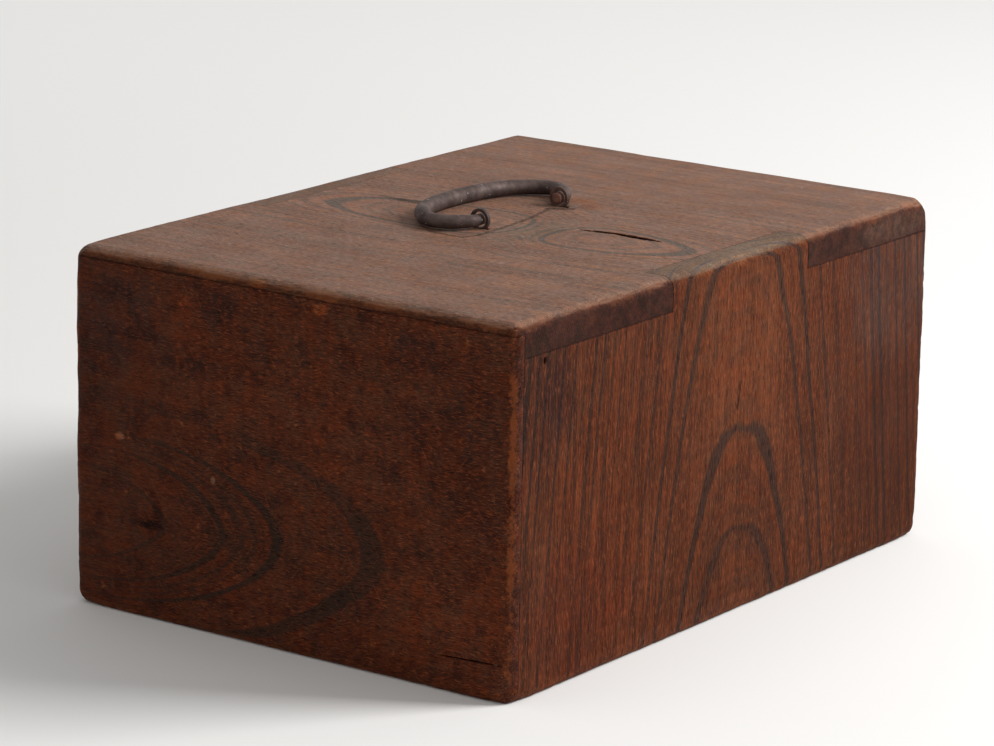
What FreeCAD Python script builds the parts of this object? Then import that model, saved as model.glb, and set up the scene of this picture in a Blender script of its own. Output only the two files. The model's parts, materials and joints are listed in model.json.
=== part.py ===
import FreeCAD, Part
import math
import os

# A small ship's chest: a solid keyaki carrying case with three drawers in its front, a forged iron
# bail handle on its top, iron drawer pulls and a lock on the wide drawer.
# Millimetres. +X is to the right of someone facing the drawers, +Y runs from the drawers to the back,
# +Z is up. The origin is the centre of the case's underside.

V = FreeCAD.Vector
X_AXIS = V(1, 0, 0)
Y_AXIS = V(0, 1, 0)
Z_AXIS = V(0, 0, 1)
SAME = 1e-6               # two lengths closer than this are equal

# ---- driving dimensions: the case ----
CASE_W = 303.0            # across the drawers, one shaku
CASE_D = 423.0            # from the drawers to the back
CASE_H = 207.0
BOARD_T = 19.0            # top and side boards
BOTTOM_T = 15.0
BACK_T = 8.0
BACK_LIP = 6.0            # the top board's edge that covers the back board's upper edge
FINGER_REAR = 147.0       # the top board's rear finger, measured from the back face
FINGER_FRONT = 137.5      # the top board's front finger, measured from the front face
ROUND_UPRIGHT = 6.5       # worn rounding of the upright edges
ROUND_TOP = 5.5
ROUND_FOOT = 3.0
BOTTOM_TONGUE = 5.0       # how far the bottom board is housed in each side board
BOTTOM_TONGUE_T = 9.0

# ---- the drawer frame inside the case ----
RAIL_T = 12.0             # height of the rail and shelf between the lower and upper drawers
RAIL_DEPTH = 28.0
LOWER_OPENING_H = 98.0
STILE_T = 12.0            # width of the stile and partition between the upper drawers
STILE_X = 38.0            # their middle, clear of the handle's staples
HOUSING = 5.0             # depth of every housing that takes a rail, shelf, stile or partition
HOUSING_SETBACK = 4.0     # the rail's and stile's tenons start this far behind the front face

# ---- drawers ----
SIDE_CLEAR = 0.8          # drawer to case, each side
TOP_CLEAR = 1.0
UNDER_CLEAR = 0.3
REAR_CLEAR = 0.5
FRONT_SETBACK = 1.0       # the drawer fronts sit this far behind the case's front face
FRONT_T = 16.0
FRONT_RABBET = 8.0        # depth of the rabbet that takes the drawer's sides and bottom
DRAWER_SIDE_T = 8.0
DRAWER_BACK_T = 8.0
DRAWER_BOTTOM_T = 6.0
DRAWER_SIDE_DROP = 3.0    # the sides' and back's upper edge, below the front's
PEG_R = 1.25
PEG_FIT = 0.02            # a driven peg's hairline in its hole
PEG_DEPTH = 12.0          # how far a peg goes into the second board
PEG_EDGE = 9.0            # from a drawer board's end to the peg in it
BOTTOM_PEGS = 4           # pegs along each drawer side
BACK_PEGS = 5             # pegs along each edge of the back board
BACK_PEG_MARGIN = 22.0

# ---- bail handle ----
HANDLE_X = 2.7            # the bail's pivot line, right of the case's middle
HANDLE_Y = -8.25          # the bail's middle, in front of the case's middle
HANDLE_SPAN = 78.5        # between the two staples
BAIL_LIFT = 5.0           # the pivot line's height over the top board
BAIL_TIP_R = 3.3
BAIL_ARM_R = 4.1
BAIL_GRIP_R = 4.8
BAIL_TIP_INSIDE = 3.6     # how far each tip reaches past its staple
BAIL_TIP_OUTSIDE = 2.0    # straight run outside the staple
BAIL_TIP_ROUND = 1.2
BAIL_ARM_BEND_R = 12.0
BAIL_ARM_BEND = 40.0      # degrees
BAIL_ARM_RUN = 6.0
BAIL_CORNER_R = 14.0
BAIL_CORNER_BEND = 80.0   # degrees
BAIL_SHOULDER_R = 38.0
BAIL_SHOULDER_BEND = 45.0  # degrees
STAPLE_T = 1.8            # thickness of the split strap
STAPLE_W = 2.4
STAPLE_EYE_R = 4.6        # the eye's inner radius
STAPLE_SPLIT = 0.3        # hairline between the strap's two legs
STAPLE_CLINCH = 12.0      # each leg's turned length under the top board
STAPLE_SLOT_FIT = 0.4     # the worn slot around the strap's neck

# ---- drawer pulls ----
PULL_SPAN = 46.0
PULL_R = 2.2
PULL_TIP = 2.5            # the wire's straight run each side of its eye
PULL_SHOULDER_R = 5.0
PULL_LEG = 8.0
PULL_CORNER_R = 9.0
PULL_EYE_FIT = 0.4
PULL_STRAP_T = 1.5
PULL_STRAP_W = 2.4
PULL_ROSETTE_R = 6.5
PULL_ROSETTE_T = 0.8
PULL_CLINCH = 7.0
PULL_RISE = 8.0           # every pull's pivot line, above its drawer opening's middle
LOWER_PULL_INSET = 73.5   # from the case's sides to the middles of the lower drawer's pulls

# ---- lock on the lower drawer ----
PLATE_W = 62.0
PLATE_H = 46.0
PLATE_T = 1.2
PLATE_TOP_GAP = 3.0       # the plate's top below the drawer front's top
PLATE_CORNER_R = 7.0
LOCK_W = 38.0
LOCK_H = 34.0
LOCK_DEPTH = 8.0
LOCK_WALL = 1.2
LOCK_FLANGE = 10.0
LOCK_TOP_GAP = 1.0
BOLT_W = 14.0
BOLT_T = 4.4
BOLT_FOOT_W = 26.0
BOLT_FOOT_H = 4.0
BOLT_TRAVEL = 8.0
BOLT_LEDGE = 3.0          # how far the case's ledges reach under the bolt's foot
BOLT_FIT = 0.3
KEYHOLE_R = 3.2
KEYHOLE_SLOT_W = 3.0
KEYHOLE_SLOT_H = 7.0
KEYHOLE_DROP = 26.0       # the keyhole's centre below the drawer front's top
LOCK_NAIL_R = 0.9
LOCK_NAIL_HEAD_R = 3.0
LOCK_NAIL_HEAD_H = 1.4
LOCK_NAIL_END = 0.8       # the nail's clinched end behind the flange
LOCK_NAIL_INSET = 8.0     # from the plate's upper edge to the upper nails
LOCK_NAIL_PITCH = 20.0    # between the upper and lower nails

# ---- planes worked out from the driving dimensions ----
RIGHT = CASE_W / 2
FRONT = -CASE_D / 2
BACK = CASE_D / 2
INNER_RIGHT = RIGHT - BOARD_T
INNER_BACK = BACK - BACK_T
INNER_TOP = CASE_H - BOARD_T
RAIL_Z = BOTTOM_T + LOWER_OPENING_H
UPPER_Z = RAIL_Z + RAIL_T
TENON_FRONT = FRONT + HOUSING_SETBACK
RAIL_BACK = FRONT + RAIL_DEPTH
STILE_LEFT = STILE_X - STILE_T / 2
STILE_RIGHT = STILE_X + STILE_T / 2
DRAWER_FACE = FRONT + FRONT_SETBACK
DRAWER_INNER = DRAWER_FACE + FRONT_T
DRAWER_JOINT = DRAWER_INNER - FRONT_RABBET
DRAWER_REAR = INNER_BACK - REAR_CLEAR
PIVOT_Z = CASE_H + BAIL_LIFT
LOWER_PULL_X = RIGHT - LOWER_PULL_INSET


def block(x0, x1, y0, y1, z0, z1):
    """A board between six planes."""
    return Part.makeBox(x1 - x0, y1 - y0, z1 - z0, V(x0, y0, z0))


def rod(radius, start, direction, length):
    """A round rod from start along direction."""
    return Part.makeCylinder(radius, length, start, direction)


def fuse(shapes):
    """One solid made of the touching shapes."""
    whole = shapes[0].multiFuse(shapes[1:]) if len(shapes) > 1 else shapes[0]
    return whole.removeSplitter()


def cut(board, tools):
    """The board without the tools' space."""
    for tool in tools:
        board = board.cut(tool)
    return board


def mirrored(shape, x=0.0):
    """The shape's mirror image in the plane at x."""
    return shape.mirror(V(x, 0, 0), X_AXIS)


def pieces(shapes):
    """Separate solids kept side by side in one node."""
    return Part.makeCompound(list(shapes))


def edges_where(shape, test):
    """The edges whose two end points both pass the test."""
    return [e for e in shape.Edges if all(test(vertex.Point) for vertex in e.Vertexes)]


# ---- case ----
def case_envelope():
    """The whole case as one worn block; every outer board is cut to it."""
    body = block(-RIGHT, RIGHT, FRONT, BACK, 0, CASE_H)
    upright = [e for e in body.Edges if abs(e.tangentAt(e.FirstParameter).z) > 0.99]
    body = body.makeFillet(ROUND_UPRIGHT, upright)
    body = body.makeFillet(ROUND_TOP, edges_where(body, lambda p: abs(p.z - CASE_H) < SAME))
    return body.makeFillet(ROUND_FOOT, edges_where(body, lambda p: abs(p.z) < SAME))


def finger_space(side):
    """The space of a side board's middle finger in the top board; side is -1 or 1."""
    x0, x1 = sorted((side * INNER_RIGHT, side * RIGHT))
    return block(x0, x1, FRONT + FINGER_FRONT, BACK - FINGER_REAR, INNER_TOP, CASE_H)


def drawer_rail():
    """The keyaki rail over the lower drawer, tenoned into both side boards."""
    face = block(-INNER_RIGHT, INNER_RIGHT, FRONT, RAIL_BACK, RAIL_Z, UPPER_Z)
    reach = INNER_RIGHT + HOUSING
    return fuse([face, block(-reach, reach, TENON_FRONT, RAIL_BACK, RAIL_Z, UPPER_Z)])


def drawer_shelf():
    """The kiri shelf behind the rail, housed in both side boards."""
    reach = INNER_RIGHT + HOUSING
    return block(-reach, reach, RAIL_BACK, INNER_BACK, RAIL_Z, UPPER_Z)


def partition_stile():
    """The keyaki stile between the upper drawers, tenoned into the rail and the top board."""
    face = block(STILE_LEFT, STILE_RIGHT, FRONT, RAIL_BACK, UPPER_Z, INNER_TOP)
    tenon = block(STILE_LEFT, STILE_RIGHT, TENON_FRONT, RAIL_BACK, UPPER_Z - HOUSING, INNER_TOP + HOUSING)
    return fuse([face, tenon])


def partition_board():
    """The kiri partition behind the stile, housed in the shelf and the top board."""
    return block(STILE_LEFT, STILE_RIGHT, RAIL_BACK, INNER_BACK, UPPER_Z - HOUSING, INNER_TOP + HOUSING)


def bottom_board():
    """The bottom board with a tongue in each side board."""
    board = block(-INNER_RIGHT, INNER_RIGHT, FRONT, INNER_BACK, 0, BOTTOM_T)
    reach = INNER_RIGHT + BOTTOM_TONGUE
    low = (BOTTOM_T - BOTTOM_TONGUE_T) / 2
    tongue = block(-reach, reach, TENON_FRONT, INNER_BACK, low, low + BOTTOM_TONGUE_T)
    return fuse([board, tongue])


def back_pegs():
    """Wooden pegs through the back board into the sides, the bottom and the top."""
    edge_x = RIGHT - BOARD_T / 2
    low_z = BOTTOM_T / 2
    high_z = (INNER_TOP + CASE_H - BACK_LIP) / 2
    pitch_x = 2 * (INNER_RIGHT - BACK_PEG_MARGIN) / (BACK_PEGS - 1)
    pitch_z = (INNER_TOP - 2 * BACK_PEG_MARGIN) / (BACK_PEGS - 1)
    places = []
    for n in range(BACK_PEGS):
        places += [(side * edge_x, BACK_PEG_MARGIN + n * pitch_z) for side in (-1, 1)]
        places += [(BACK_PEG_MARGIN - INNER_RIGHT + n * pitch_x, z) for z in (low_z, high_z)]
    return [(V(x, INNER_BACK - PEG_DEPTH, z), Y_AXIS, BACK_T + PEG_DEPTH) for x, z in places]


def peg_solids(places):
    """The pegs themselves."""
    return [rod(PEG_R, start, direction, length) for start, direction, length in places]


def peg_holes(places):
    """The holes that the pegs are driven into."""
    return [rod(PEG_R + PEG_FIT, start, direction, length) for start, direction, length in places]


def build_case():
    """Every fixed wooden piece of the case."""
    envelope = case_envelope()
    rail = drawer_rail()
    shelf = drawer_shelf()
    stile = partition_stile()
    partition = partition_board()
    bottom = bottom_board()
    back_holes = peg_holes(back_pegs())

    top = block(-RIGHT, RIGHT, FRONT, BACK, INNER_TOP, CASE_H)
    rear_rabbet = block(-RIGHT, RIGHT, INNER_BACK, BACK, INNER_TOP, CASE_H - BACK_LIP)
    top = cut(top, [finger_space(-1), finger_space(1), rear_rabbet, stile, partition])
    top = cut(top, back_holes + [staple_space(y) for y in staple_lines()])

    left = block(-RIGHT, -INNER_RIGHT, FRONT, INNER_BACK, 0, INNER_TOP)
    left = fuse([left, finger_space(-1)])
    right = mirrored(left)
    housings = [rail, shelf, bottom] + back_holes

    back = block(-RIGHT, RIGHT, INNER_BACK, BACK, 0, CASE_H - BACK_LIP)

    return {
        "top_board": top.common(envelope),
        "left_side_board": cut(left, housings).common(envelope),
        "right_side_board": cut(right, housings).common(envelope),
        "bottom_board": cut(bottom, back_holes).common(envelope),
        "back_board": cut(back, back_holes).common(envelope),
        "back_pegs": pieces(peg_solids(back_pegs())),
        "drawer_rail": cut(rail, [stile, bolt_mortise()]),
        "drawer_shelf": cut(shelf, [partition]),
        "partition_stile": stile,
        "partition_board": partition,
    }


# ---- bail handle ----
def staple_lines():
    """The Y of each staple, front first."""
    return [HANDLE_Y - HANDLE_SPAN / 2, HANDLE_Y + HANDLE_SPAN / 2]


def staple_neck_half():
    """Half the width of the strap's two legs."""
    return STAPLE_T + STAPLE_SPLIT / 2


def staple_space(y):
    """What a staple takes out of the top board: its slot and the beds of its clinched legs."""
    half_w = STAPLE_W / 2 + STAPLE_SLOT_FIT
    neck = staple_neck_half() + STAPLE_SLOT_FIT
    hole = block(HANDLE_X - neck, HANDLE_X + neck, y - half_w, y + half_w, INNER_TOP, CASE_H)
    eye = rod(STAPLE_EYE_R + STAPLE_T + STAPLE_SLOT_FIT, V(HANDLE_X, y - half_w, PIVOT_Z), Y_AXIS, 2 * half_w)
    reach = staple_neck_half() + STAPLE_CLINCH + STAPLE_SLOT_FIT
    bed = block(HANDLE_X - reach, HANDLE_X + reach, y - half_w, y + half_w, INNER_TOP, INNER_TOP + STAPLE_T)
    return fuse([hole, eye, bed])


def handle_staple(y):
    """A split strap: an eye round the bail's tip, two legs through the board, turned over below."""
    y0 = y - STAPLE_W / 2
    y1 = y + STAPLE_W / 2
    outer = STAPLE_EYE_R + STAPLE_T
    eye = rod(outer, V(HANDLE_X, y0, PIVOT_Z), Y_AXIS, STAPLE_W)
    neck = staple_neck_half()
    legs = block(HANDLE_X - neck, HANDLE_X + neck, y0, y1, INNER_TOP, PIVOT_Z - STAPLE_EYE_R)
    reach = neck + STAPLE_CLINCH
    clinch = block(HANDLE_X - reach, HANDLE_X + reach, y0, y1, INNER_TOP, INNER_TOP + STAPLE_T)
    whole = fuse([eye, legs, clinch])
    hollow = rod(STAPLE_EYE_R, V(HANDLE_X, y0, PIVOT_Z), Y_AXIS, STAPLE_W)
    split_half = STAPLE_SPLIT / 2
    split_top = PIVOT_Z - STAPLE_EYE_R - STAPLE_T
    split = block(HANDLE_X - split_half, HANDLE_X + split_half, y0, y1, INNER_TOP, split_top)
    return cut(whole, [hollow, split])


def heading(angle):
    """The plan direction of a bend: 0 degrees runs outwards along the pivot, 90 away from it."""
    return V(math.sin(math.radians(angle)), math.cos(math.radians(angle)), 0)


def run(point, angle, length):
    """A straight run; gives the edge and its end."""
    end = point + heading(angle) * length
    return Part.LineSegment(point, end).toShape(), end


def bend(point, angle, radius, turn):
    """A tangent arc that turns the heading by turn degrees; gives the edge and its end."""
    centre = point + heading(angle + 90) * radius
    middle = centre - heading(angle + 90 + turn / 2) * radius
    end = centre - heading(angle + 90 + turn) * radius
    return Part.Arc(point, middle, end).toShape(), end


def bar_section(point, angle, radius):
    """The bar's round section at a point of its centreline."""
    circle = Part.makeCircle(radius, V(0, 0, 0), Y_AXIS)
    circle.rotate(V(0, 0, 0), Z_AXIS, -angle)
    circle.translate(point)
    return Part.Wire(circle)


def bar_length(edge, start, end):
    """The forged bar along one edge, tapering between its two sections."""
    sweep = Part.BRepOffsetAPI.MakePipeShell(Part.Wire(edge))
    sweep.setBiNormalMode(Z_AXIS)
    sweep.add(bar_section(*start))
    sweep.add(bar_section(*end))
    sweep.build()
    sweep.makeSolid()
    return sweep.shape()


def bail_half():
    """Half of the bail, from a tip to the grip's middle, about its own pivot line and middle."""
    swell = (BAIL_GRIP_R - BAIL_ARM_R) / 3
    shoulder_angle = BAIL_ARM_BEND + BAIL_CORNER_BEND
    grip_angle = shoulder_angle + BAIL_SHOULDER_BEND
    point = V(0, HANDLE_SPAN / 2 - BAIL_TIP_INSIDE, 0)
    ends = [(point, 0, BAIL_TIP_R)]
    edges = []

    def add(step, radius):
        """Keep one step of the centreline and the bar's radius at its end."""
        (edge, end), angle = step
        edges.append(edge)
        ends.append((end, angle, radius))
        return end

    point = add((run(point, 0, BAIL_TIP_INSIDE + BAIL_TIP_OUTSIDE), 0), BAIL_TIP_R)
    arm_bend = bend(point, 0, BAIL_ARM_BEND_R, BAIL_ARM_BEND)
    point = add((arm_bend, BAIL_ARM_BEND), (BAIL_TIP_R + BAIL_ARM_R) / 2)
    point = add((run(point, BAIL_ARM_BEND, BAIL_ARM_RUN), BAIL_ARM_BEND), BAIL_ARM_R)
    corner = bend(point, BAIL_ARM_BEND, BAIL_CORNER_R, BAIL_CORNER_BEND)
    point = add((corner, shoulder_angle), BAIL_ARM_R + swell)
    shoulder = bend(point, shoulder_angle, BAIL_SHOULDER_R, BAIL_SHOULDER_BEND)
    point = add((shoulder, grip_angle), BAIL_GRIP_R - swell)
    grip_turn = 180 - grip_angle
    grip_bend_r = point.y / math.sin(math.radians(grip_turn))
    add((bend(point, grip_angle, grip_bend_r, grip_turn), 180), BAIL_GRIP_R)
    return fuse([bar_length(edge, ends[n], ends[n + 1]) for n, edge in enumerate(edges)])


def bail_handle():
    """The forged bail: one bar, thickest at the grip, its tips turned in through the staples."""
    half = bail_half()
    tip_y = HANDLE_SPAN / 2 - BAIL_TIP_INSIDE
    half = half.makeFillet(BAIL_TIP_ROUND, edges_where(half, lambda p: abs(p.y - tip_y) < SAME))
    bar = fuse([half, half.mirror(V(0, 0, 0), Y_AXIS)])
    bar.translate(V(HANDLE_X, HANDLE_Y, PIVOT_Z))
    return bar


def build_handle():
    """The handle and its two staples."""
    front_y, back_y = staple_lines()
    return {
        "bail_handle": bail_handle(),
        "handle_staple_front": handle_staple(front_y),
        "handle_staple_back": handle_staple(back_y),
    }


# ---- drawer pulls ----
def pull_eye_r():
    """Inner radius of a pull's eye."""
    return PULL_R + PULL_EYE_FIT


def pull_axis_y():
    """The pull's pivot line stands this far forward."""
    return DRAWER_FACE - PULL_ROSETTE_T - PULL_STRAP_T - pull_eye_r()


def pull_posts(x, z):
    """The X of a pull's two eye posts."""
    return [x - PULL_SPAN / 2, x + PULL_SPAN / 2]


def pull_bail(x, z):
    """A small drop handle of round iron, hanging from its two eyes."""
    y = pull_axis_y()
    drop = PULL_SHOULDER_R + PULL_LEG + PULL_CORNER_R
    tip = PULL_SPAN / 2 - PULL_TIP
    out = PULL_SPAN / 2 + PULL_TIP
    wide = out + PULL_SHOULDER_R
    low = wide - PULL_CORNER_R
    turn = math.sqrt(0.5)
    shoulder = V(out + PULL_SHOULDER_R * turn, 0, PULL_SHOULDER_R * (turn - 1))
    corner = V(low + PULL_CORNER_R * turn, 0, PULL_CORNER_R * (1 - turn) - drop)
    leg_top = V(wide, 0, -PULL_SHOULDER_R)
    leg_end = V(wide, 0, PULL_CORNER_R - drop)
    half = [
        Part.LineSegment(V(tip, 0, 0), V(out, 0, 0)).toShape(),
        Part.Arc(V(out, 0, 0), shoulder, leg_top).toShape(),
        Part.LineSegment(leg_top, leg_end).toShape(),
        Part.Arc(leg_end, corner, V(low, 0, -drop)).toShape(),
        Part.LineSegment(V(low, 0, -drop), V(0, 0, -drop)).toShape(),
    ]
    path = Part.Wire(Part.__sortEdges__(half + [mirrored(edge) for edge in half]))
    section = Part.Wire(Part.makeCircle(PULL_R, V(-tip, 0, 0), X_AXIS))
    bar = path.makePipeShell([section], True, True)
    bar.translate(V(x, y, z))
    return bar


def pull_post(x, z):
    """A split strap with an eye for the pull, through the drawer front and turned over behind."""
    x0 = x - PULL_STRAP_W / 2
    y = pull_axis_y()
    outer = pull_eye_r() + PULL_STRAP_T
    eye = rod(outer, V(x0, y, z), X_AXIS, PULL_STRAP_W)
    legs = block(x0, x0 + PULL_STRAP_W, y + pull_eye_r(), DRAWER_INNER, z - PULL_STRAP_T, z + PULL_STRAP_T)
    reach = PULL_STRAP_T + PULL_CLINCH
    clinch = block(x0, x0 + PULL_STRAP_W, DRAWER_INNER, DRAWER_INNER + PULL_STRAP_T, z - reach, z + reach)
    hollow = rod(pull_eye_r(), V(x0, y, z), X_AXIS, PULL_STRAP_W)
    return cut(fuse([eye, legs, clinch]), [hollow])


def pull_post_hole(x, z, y0, y1):
    """The slot that a post's legs fill."""
    half_w = PULL_STRAP_W / 2
    return block(x - half_w, x + half_w, y0, y1, z - PULL_STRAP_T, z + PULL_STRAP_T)


def pull_rosette(x, z):
    """The round iron washer behind an eye."""
    face = DRAWER_FACE - PULL_ROSETTE_T
    disc = rod(PULL_ROSETTE_R, V(x, face, z), Y_AXIS, PULL_ROSETTE_T)
    return cut(disc, [pull_post_hole(x, z, face, DRAWER_FACE)])


def build_pull(name, x, z):
    """One pull with its posts and washers."""
    posts = pull_posts(x, z)
    return {
        name + "_pull": pull_bail(x, z),
        name + "_pull_posts": pieces(pull_post(post, z) for post in posts),
        name + "_pull_rosettes": pieces(pull_rosette(post, z) for post in posts),
    }


# ---- lock ----
def lock_top():
    """The lower drawer front's top edge."""
    return RAIL_Z - TOP_CLEAR


def bolt_plane():
    """The Y of the bolt's middle."""
    return DRAWER_INNER + (LOCK_DEPTH - LOCK_WALL) / 2


def case_top():
    """The lock case's top, just below the drawer front's."""
    return lock_top() - LOCK_TOP_GAP


def bolt_bottom():
    """The underside of the bolt's foot at rest, its full travel below the case's top wall."""
    return case_top() - LOCK_WALL - BOLT_FIT - BOLT_TRAVEL - BOLT_FOOT_H


def bolt_mortise():
    """The pocket in the rail that the raised bolt enters."""
    half_w = BOLT_W / 2 + BOLT_FIT
    half_t = BOLT_T / 2 + BOLT_FIT
    y = bolt_plane()
    raised = case_top() - BOLT_FIT + BOLT_TRAVEL
    return block(-half_w, half_w, y - half_t, y + half_t, RAIL_Z, raised + BOLT_FIT)


def keyhole(y0, y1):
    """The keyhole: a round eye over a slot."""
    z = lock_top() - KEYHOLE_DROP
    eye = rod(KEYHOLE_R, V(0, y0, z), Y_AXIS, y1 - y0)
    half = KEYHOLE_SLOT_W / 2
    return fuse([eye, block(-half, half, y0, y1, z - KEYHOLE_SLOT_H, z)])


def lock_nail_places():
    """The X and Z of the four nails."""
    x = LOCK_W / 2 + LOCK_FLANGE / 2
    z = lock_top() - PLATE_TOP_GAP - LOCK_NAIL_INSET
    return [(side * x, z - row * LOCK_NAIL_PITCH) for side in (-1, 1) for row in (0, 1)]


def nail_hole(x, z, y0, y1):
    """The hole that a lock nail fills."""
    return rod(LOCK_NAIL_R + PEG_FIT, V(x, y0, z), Y_AXIS, y1 - y0)


def lock_nail(x, z):
    """A domed nail through the plate, the drawer front and the lock's flange."""
    face = DRAWER_FACE - PLATE_T
    end = DRAWER_INNER + LOCK_WALL + LOCK_NAIL_END
    shank = rod(LOCK_NAIL_R, V(x, face, z), Y_AXIS, end - face)
    ball_r = (LOCK_NAIL_HEAD_R ** 2 + LOCK_NAIL_HEAD_H ** 2) / (2 * LOCK_NAIL_HEAD_H)
    ball = Part.makeSphere(ball_r, V(x, face + ball_r - LOCK_NAIL_HEAD_H, z))
    cap = block(x - ball_r, x + ball_r, face - 2 * ball_r, face, z - ball_r, z + ball_r)
    return fuse([shank, ball.common(cap)])


def lock_plate():
    """The iron plate on the drawer's face."""
    top = lock_top() - PLATE_TOP_GAP
    y0 = DRAWER_FACE - PLATE_T
    plate = block(-PLATE_W / 2, PLATE_W / 2, y0, DRAWER_FACE, top - PLATE_H, top)
    corners = [e for e in plate.Edges if abs(e.tangentAt(e.FirstParameter).y) > 0.99]
    plate = plate.makeFillet(PLATE_CORNER_R, corners)
    holes = [nail_hole(x, z, y0, DRAWER_FACE) for x, z in lock_nail_places()]
    return cut(plate, [keyhole(y0, DRAWER_FACE)] + holes)


def lock_case():
    """The lock's iron box behind the drawer front, open towards it, with a flange each side."""
    top = case_top()
    low = top - LOCK_H
    half = LOCK_W / 2
    y0 = DRAWER_INNER
    y1 = y0 + LOCK_DEPTH
    box = block(-half, half, y0, y1, low, top)
    flange = block(-half - LOCK_FLANGE, half + LOCK_FLANGE, y0, y0 + LOCK_WALL, low, top)
    ledge_z = bolt_bottom() - BOLT_FIT
    room = half - LOCK_WALL
    throat = BOLT_FOOT_W / 2 - BOLT_LEDGE
    bolt_room = block(-room, room, y0, y1 - LOCK_WALL, ledge_z, top - LOCK_WALL)
    key_room = block(-throat, throat, y0, y1 - LOCK_WALL, low + LOCK_WALL, ledge_z)
    slot_w = BOLT_W / 2 + BOLT_FIT
    slot_t = BOLT_T / 2 + BOLT_FIT
    y = bolt_plane()
    slot = block(-slot_w, slot_w, y - slot_t, y + slot_t, top - LOCK_WALL, top)
    holes = [nail_hole(x, z, y0, y0 + LOCK_WALL) for x, z in lock_nail_places()]
    return cut(fuse([box, flange]), [bolt_room, key_room, slot] + holes)


def lock_bolt():
    """The bolt drawn back: a tongue in the case's slot, on a wider foot that stops it both ways."""
    low = bolt_bottom()
    y0 = bolt_plane() - BOLT_T / 2
    y1 = y0 + BOLT_T
    tongue = block(-BOLT_W / 2, BOLT_W / 2, y0, y1, low, case_top() - BOLT_FIT)
    foot = block(-BOLT_FOOT_W / 2, BOLT_FOOT_W / 2, y0, y1, low, low + BOLT_FOOT_H)
    return fuse([tongue, foot])


def build_lock():
    """The lower drawer's lock."""
    return {
        "lock_plate": lock_plate(),
        "lock_case": lock_case(),
        "lock_bolt": lock_bolt(),
        "lock_nails": pieces(lock_nail(x, z) for x, z in lock_nail_places()),
    }


# ---- drawers ----
def drawer_pegs(x0, x1, z0, z_side):
    """Pegs of one drawer: through the sides into front and back, and up through the bottom."""
    front_y = DRAWER_JOINT + FRONT_RABBET / 2
    back_y = DRAWER_REAR - DRAWER_BACK_T / 2
    length = DRAWER_SIDE_T + PEG_DEPTH
    places = []
    for y in (front_y, back_y):
        for z in (z0 + DRAWER_BOTTOM_T + PEG_EDGE, z_side - PEG_EDGE):
            places.append((V(x0, y, z), X_AXIS, length))
            places.append((V(x1, y, z), -X_AXIS, length))
    first = DRAWER_INNER + PEG_EDGE
    pitch = (DRAWER_REAR - DRAWER_BACK_T - PEG_EDGE - first) / (BOTTOM_PEGS - 1)
    for n in range(BOTTOM_PEGS):
        for x in (x0 + DRAWER_SIDE_T / 2, x1 - DRAWER_SIDE_T / 2):
            places.append((V(x, first + n * pitch, z0), Z_AXIS, DRAWER_BOTTOM_T + PEG_DEPTH))
    return places


def build_drawer(name, across, upright, front_cuts):
    """One drawer that fills its opening: keyaki front, kiri sides, back and bottom, and pegs."""
    x0 = across[0] + SIDE_CLEAR
    x1 = across[1] - SIDE_CLEAR
    z0 = upright[0] + UNDER_CLEAR
    z1 = upright[1] - TOP_CLEAR
    z_side = z1 - DRAWER_SIDE_DROP
    z_floor = z0 + DRAWER_BOTTOM_T
    places = drawer_pegs(x0, x1, z0, z_side)
    holes = peg_holes(places)

    front = block(x0, x1, DRAWER_FACE, DRAWER_INNER, z0, z1)
    left = block(x0, x0 + DRAWER_SIDE_T, DRAWER_JOINT, DRAWER_REAR, z_floor, z_side)
    right = block(x1 - DRAWER_SIDE_T, x1, DRAWER_JOINT, DRAWER_REAR, z_floor, z_side)
    back_y = DRAWER_REAR - DRAWER_BACK_T
    back = block(x0 + DRAWER_SIDE_T, x1 - DRAWER_SIDE_T, back_y, DRAWER_REAR, z_floor, z_side)
    bottom = block(x0, x1, DRAWER_JOINT, DRAWER_REAR, z0, z_floor)
    return {
        name + "_drawer_front": cut(front, [left, right, bottom] + front_cuts + holes),
        name + "_drawer_left_side": cut(left, holes),
        name + "_drawer_right_side": cut(right, holes),
        name + "_drawer_back": cut(back, holes),
        name + "_drawer_bottom": cut(bottom, holes),
        name + "_drawer_pegs": pieces(peg_solids(places)),
    }


def pull_cuts(x, z):
    """What a pull takes out of its drawer front."""
    return [pull_post_hole(post, z, DRAWER_FACE, DRAWER_INNER) for post in pull_posts(x, z)]


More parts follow.
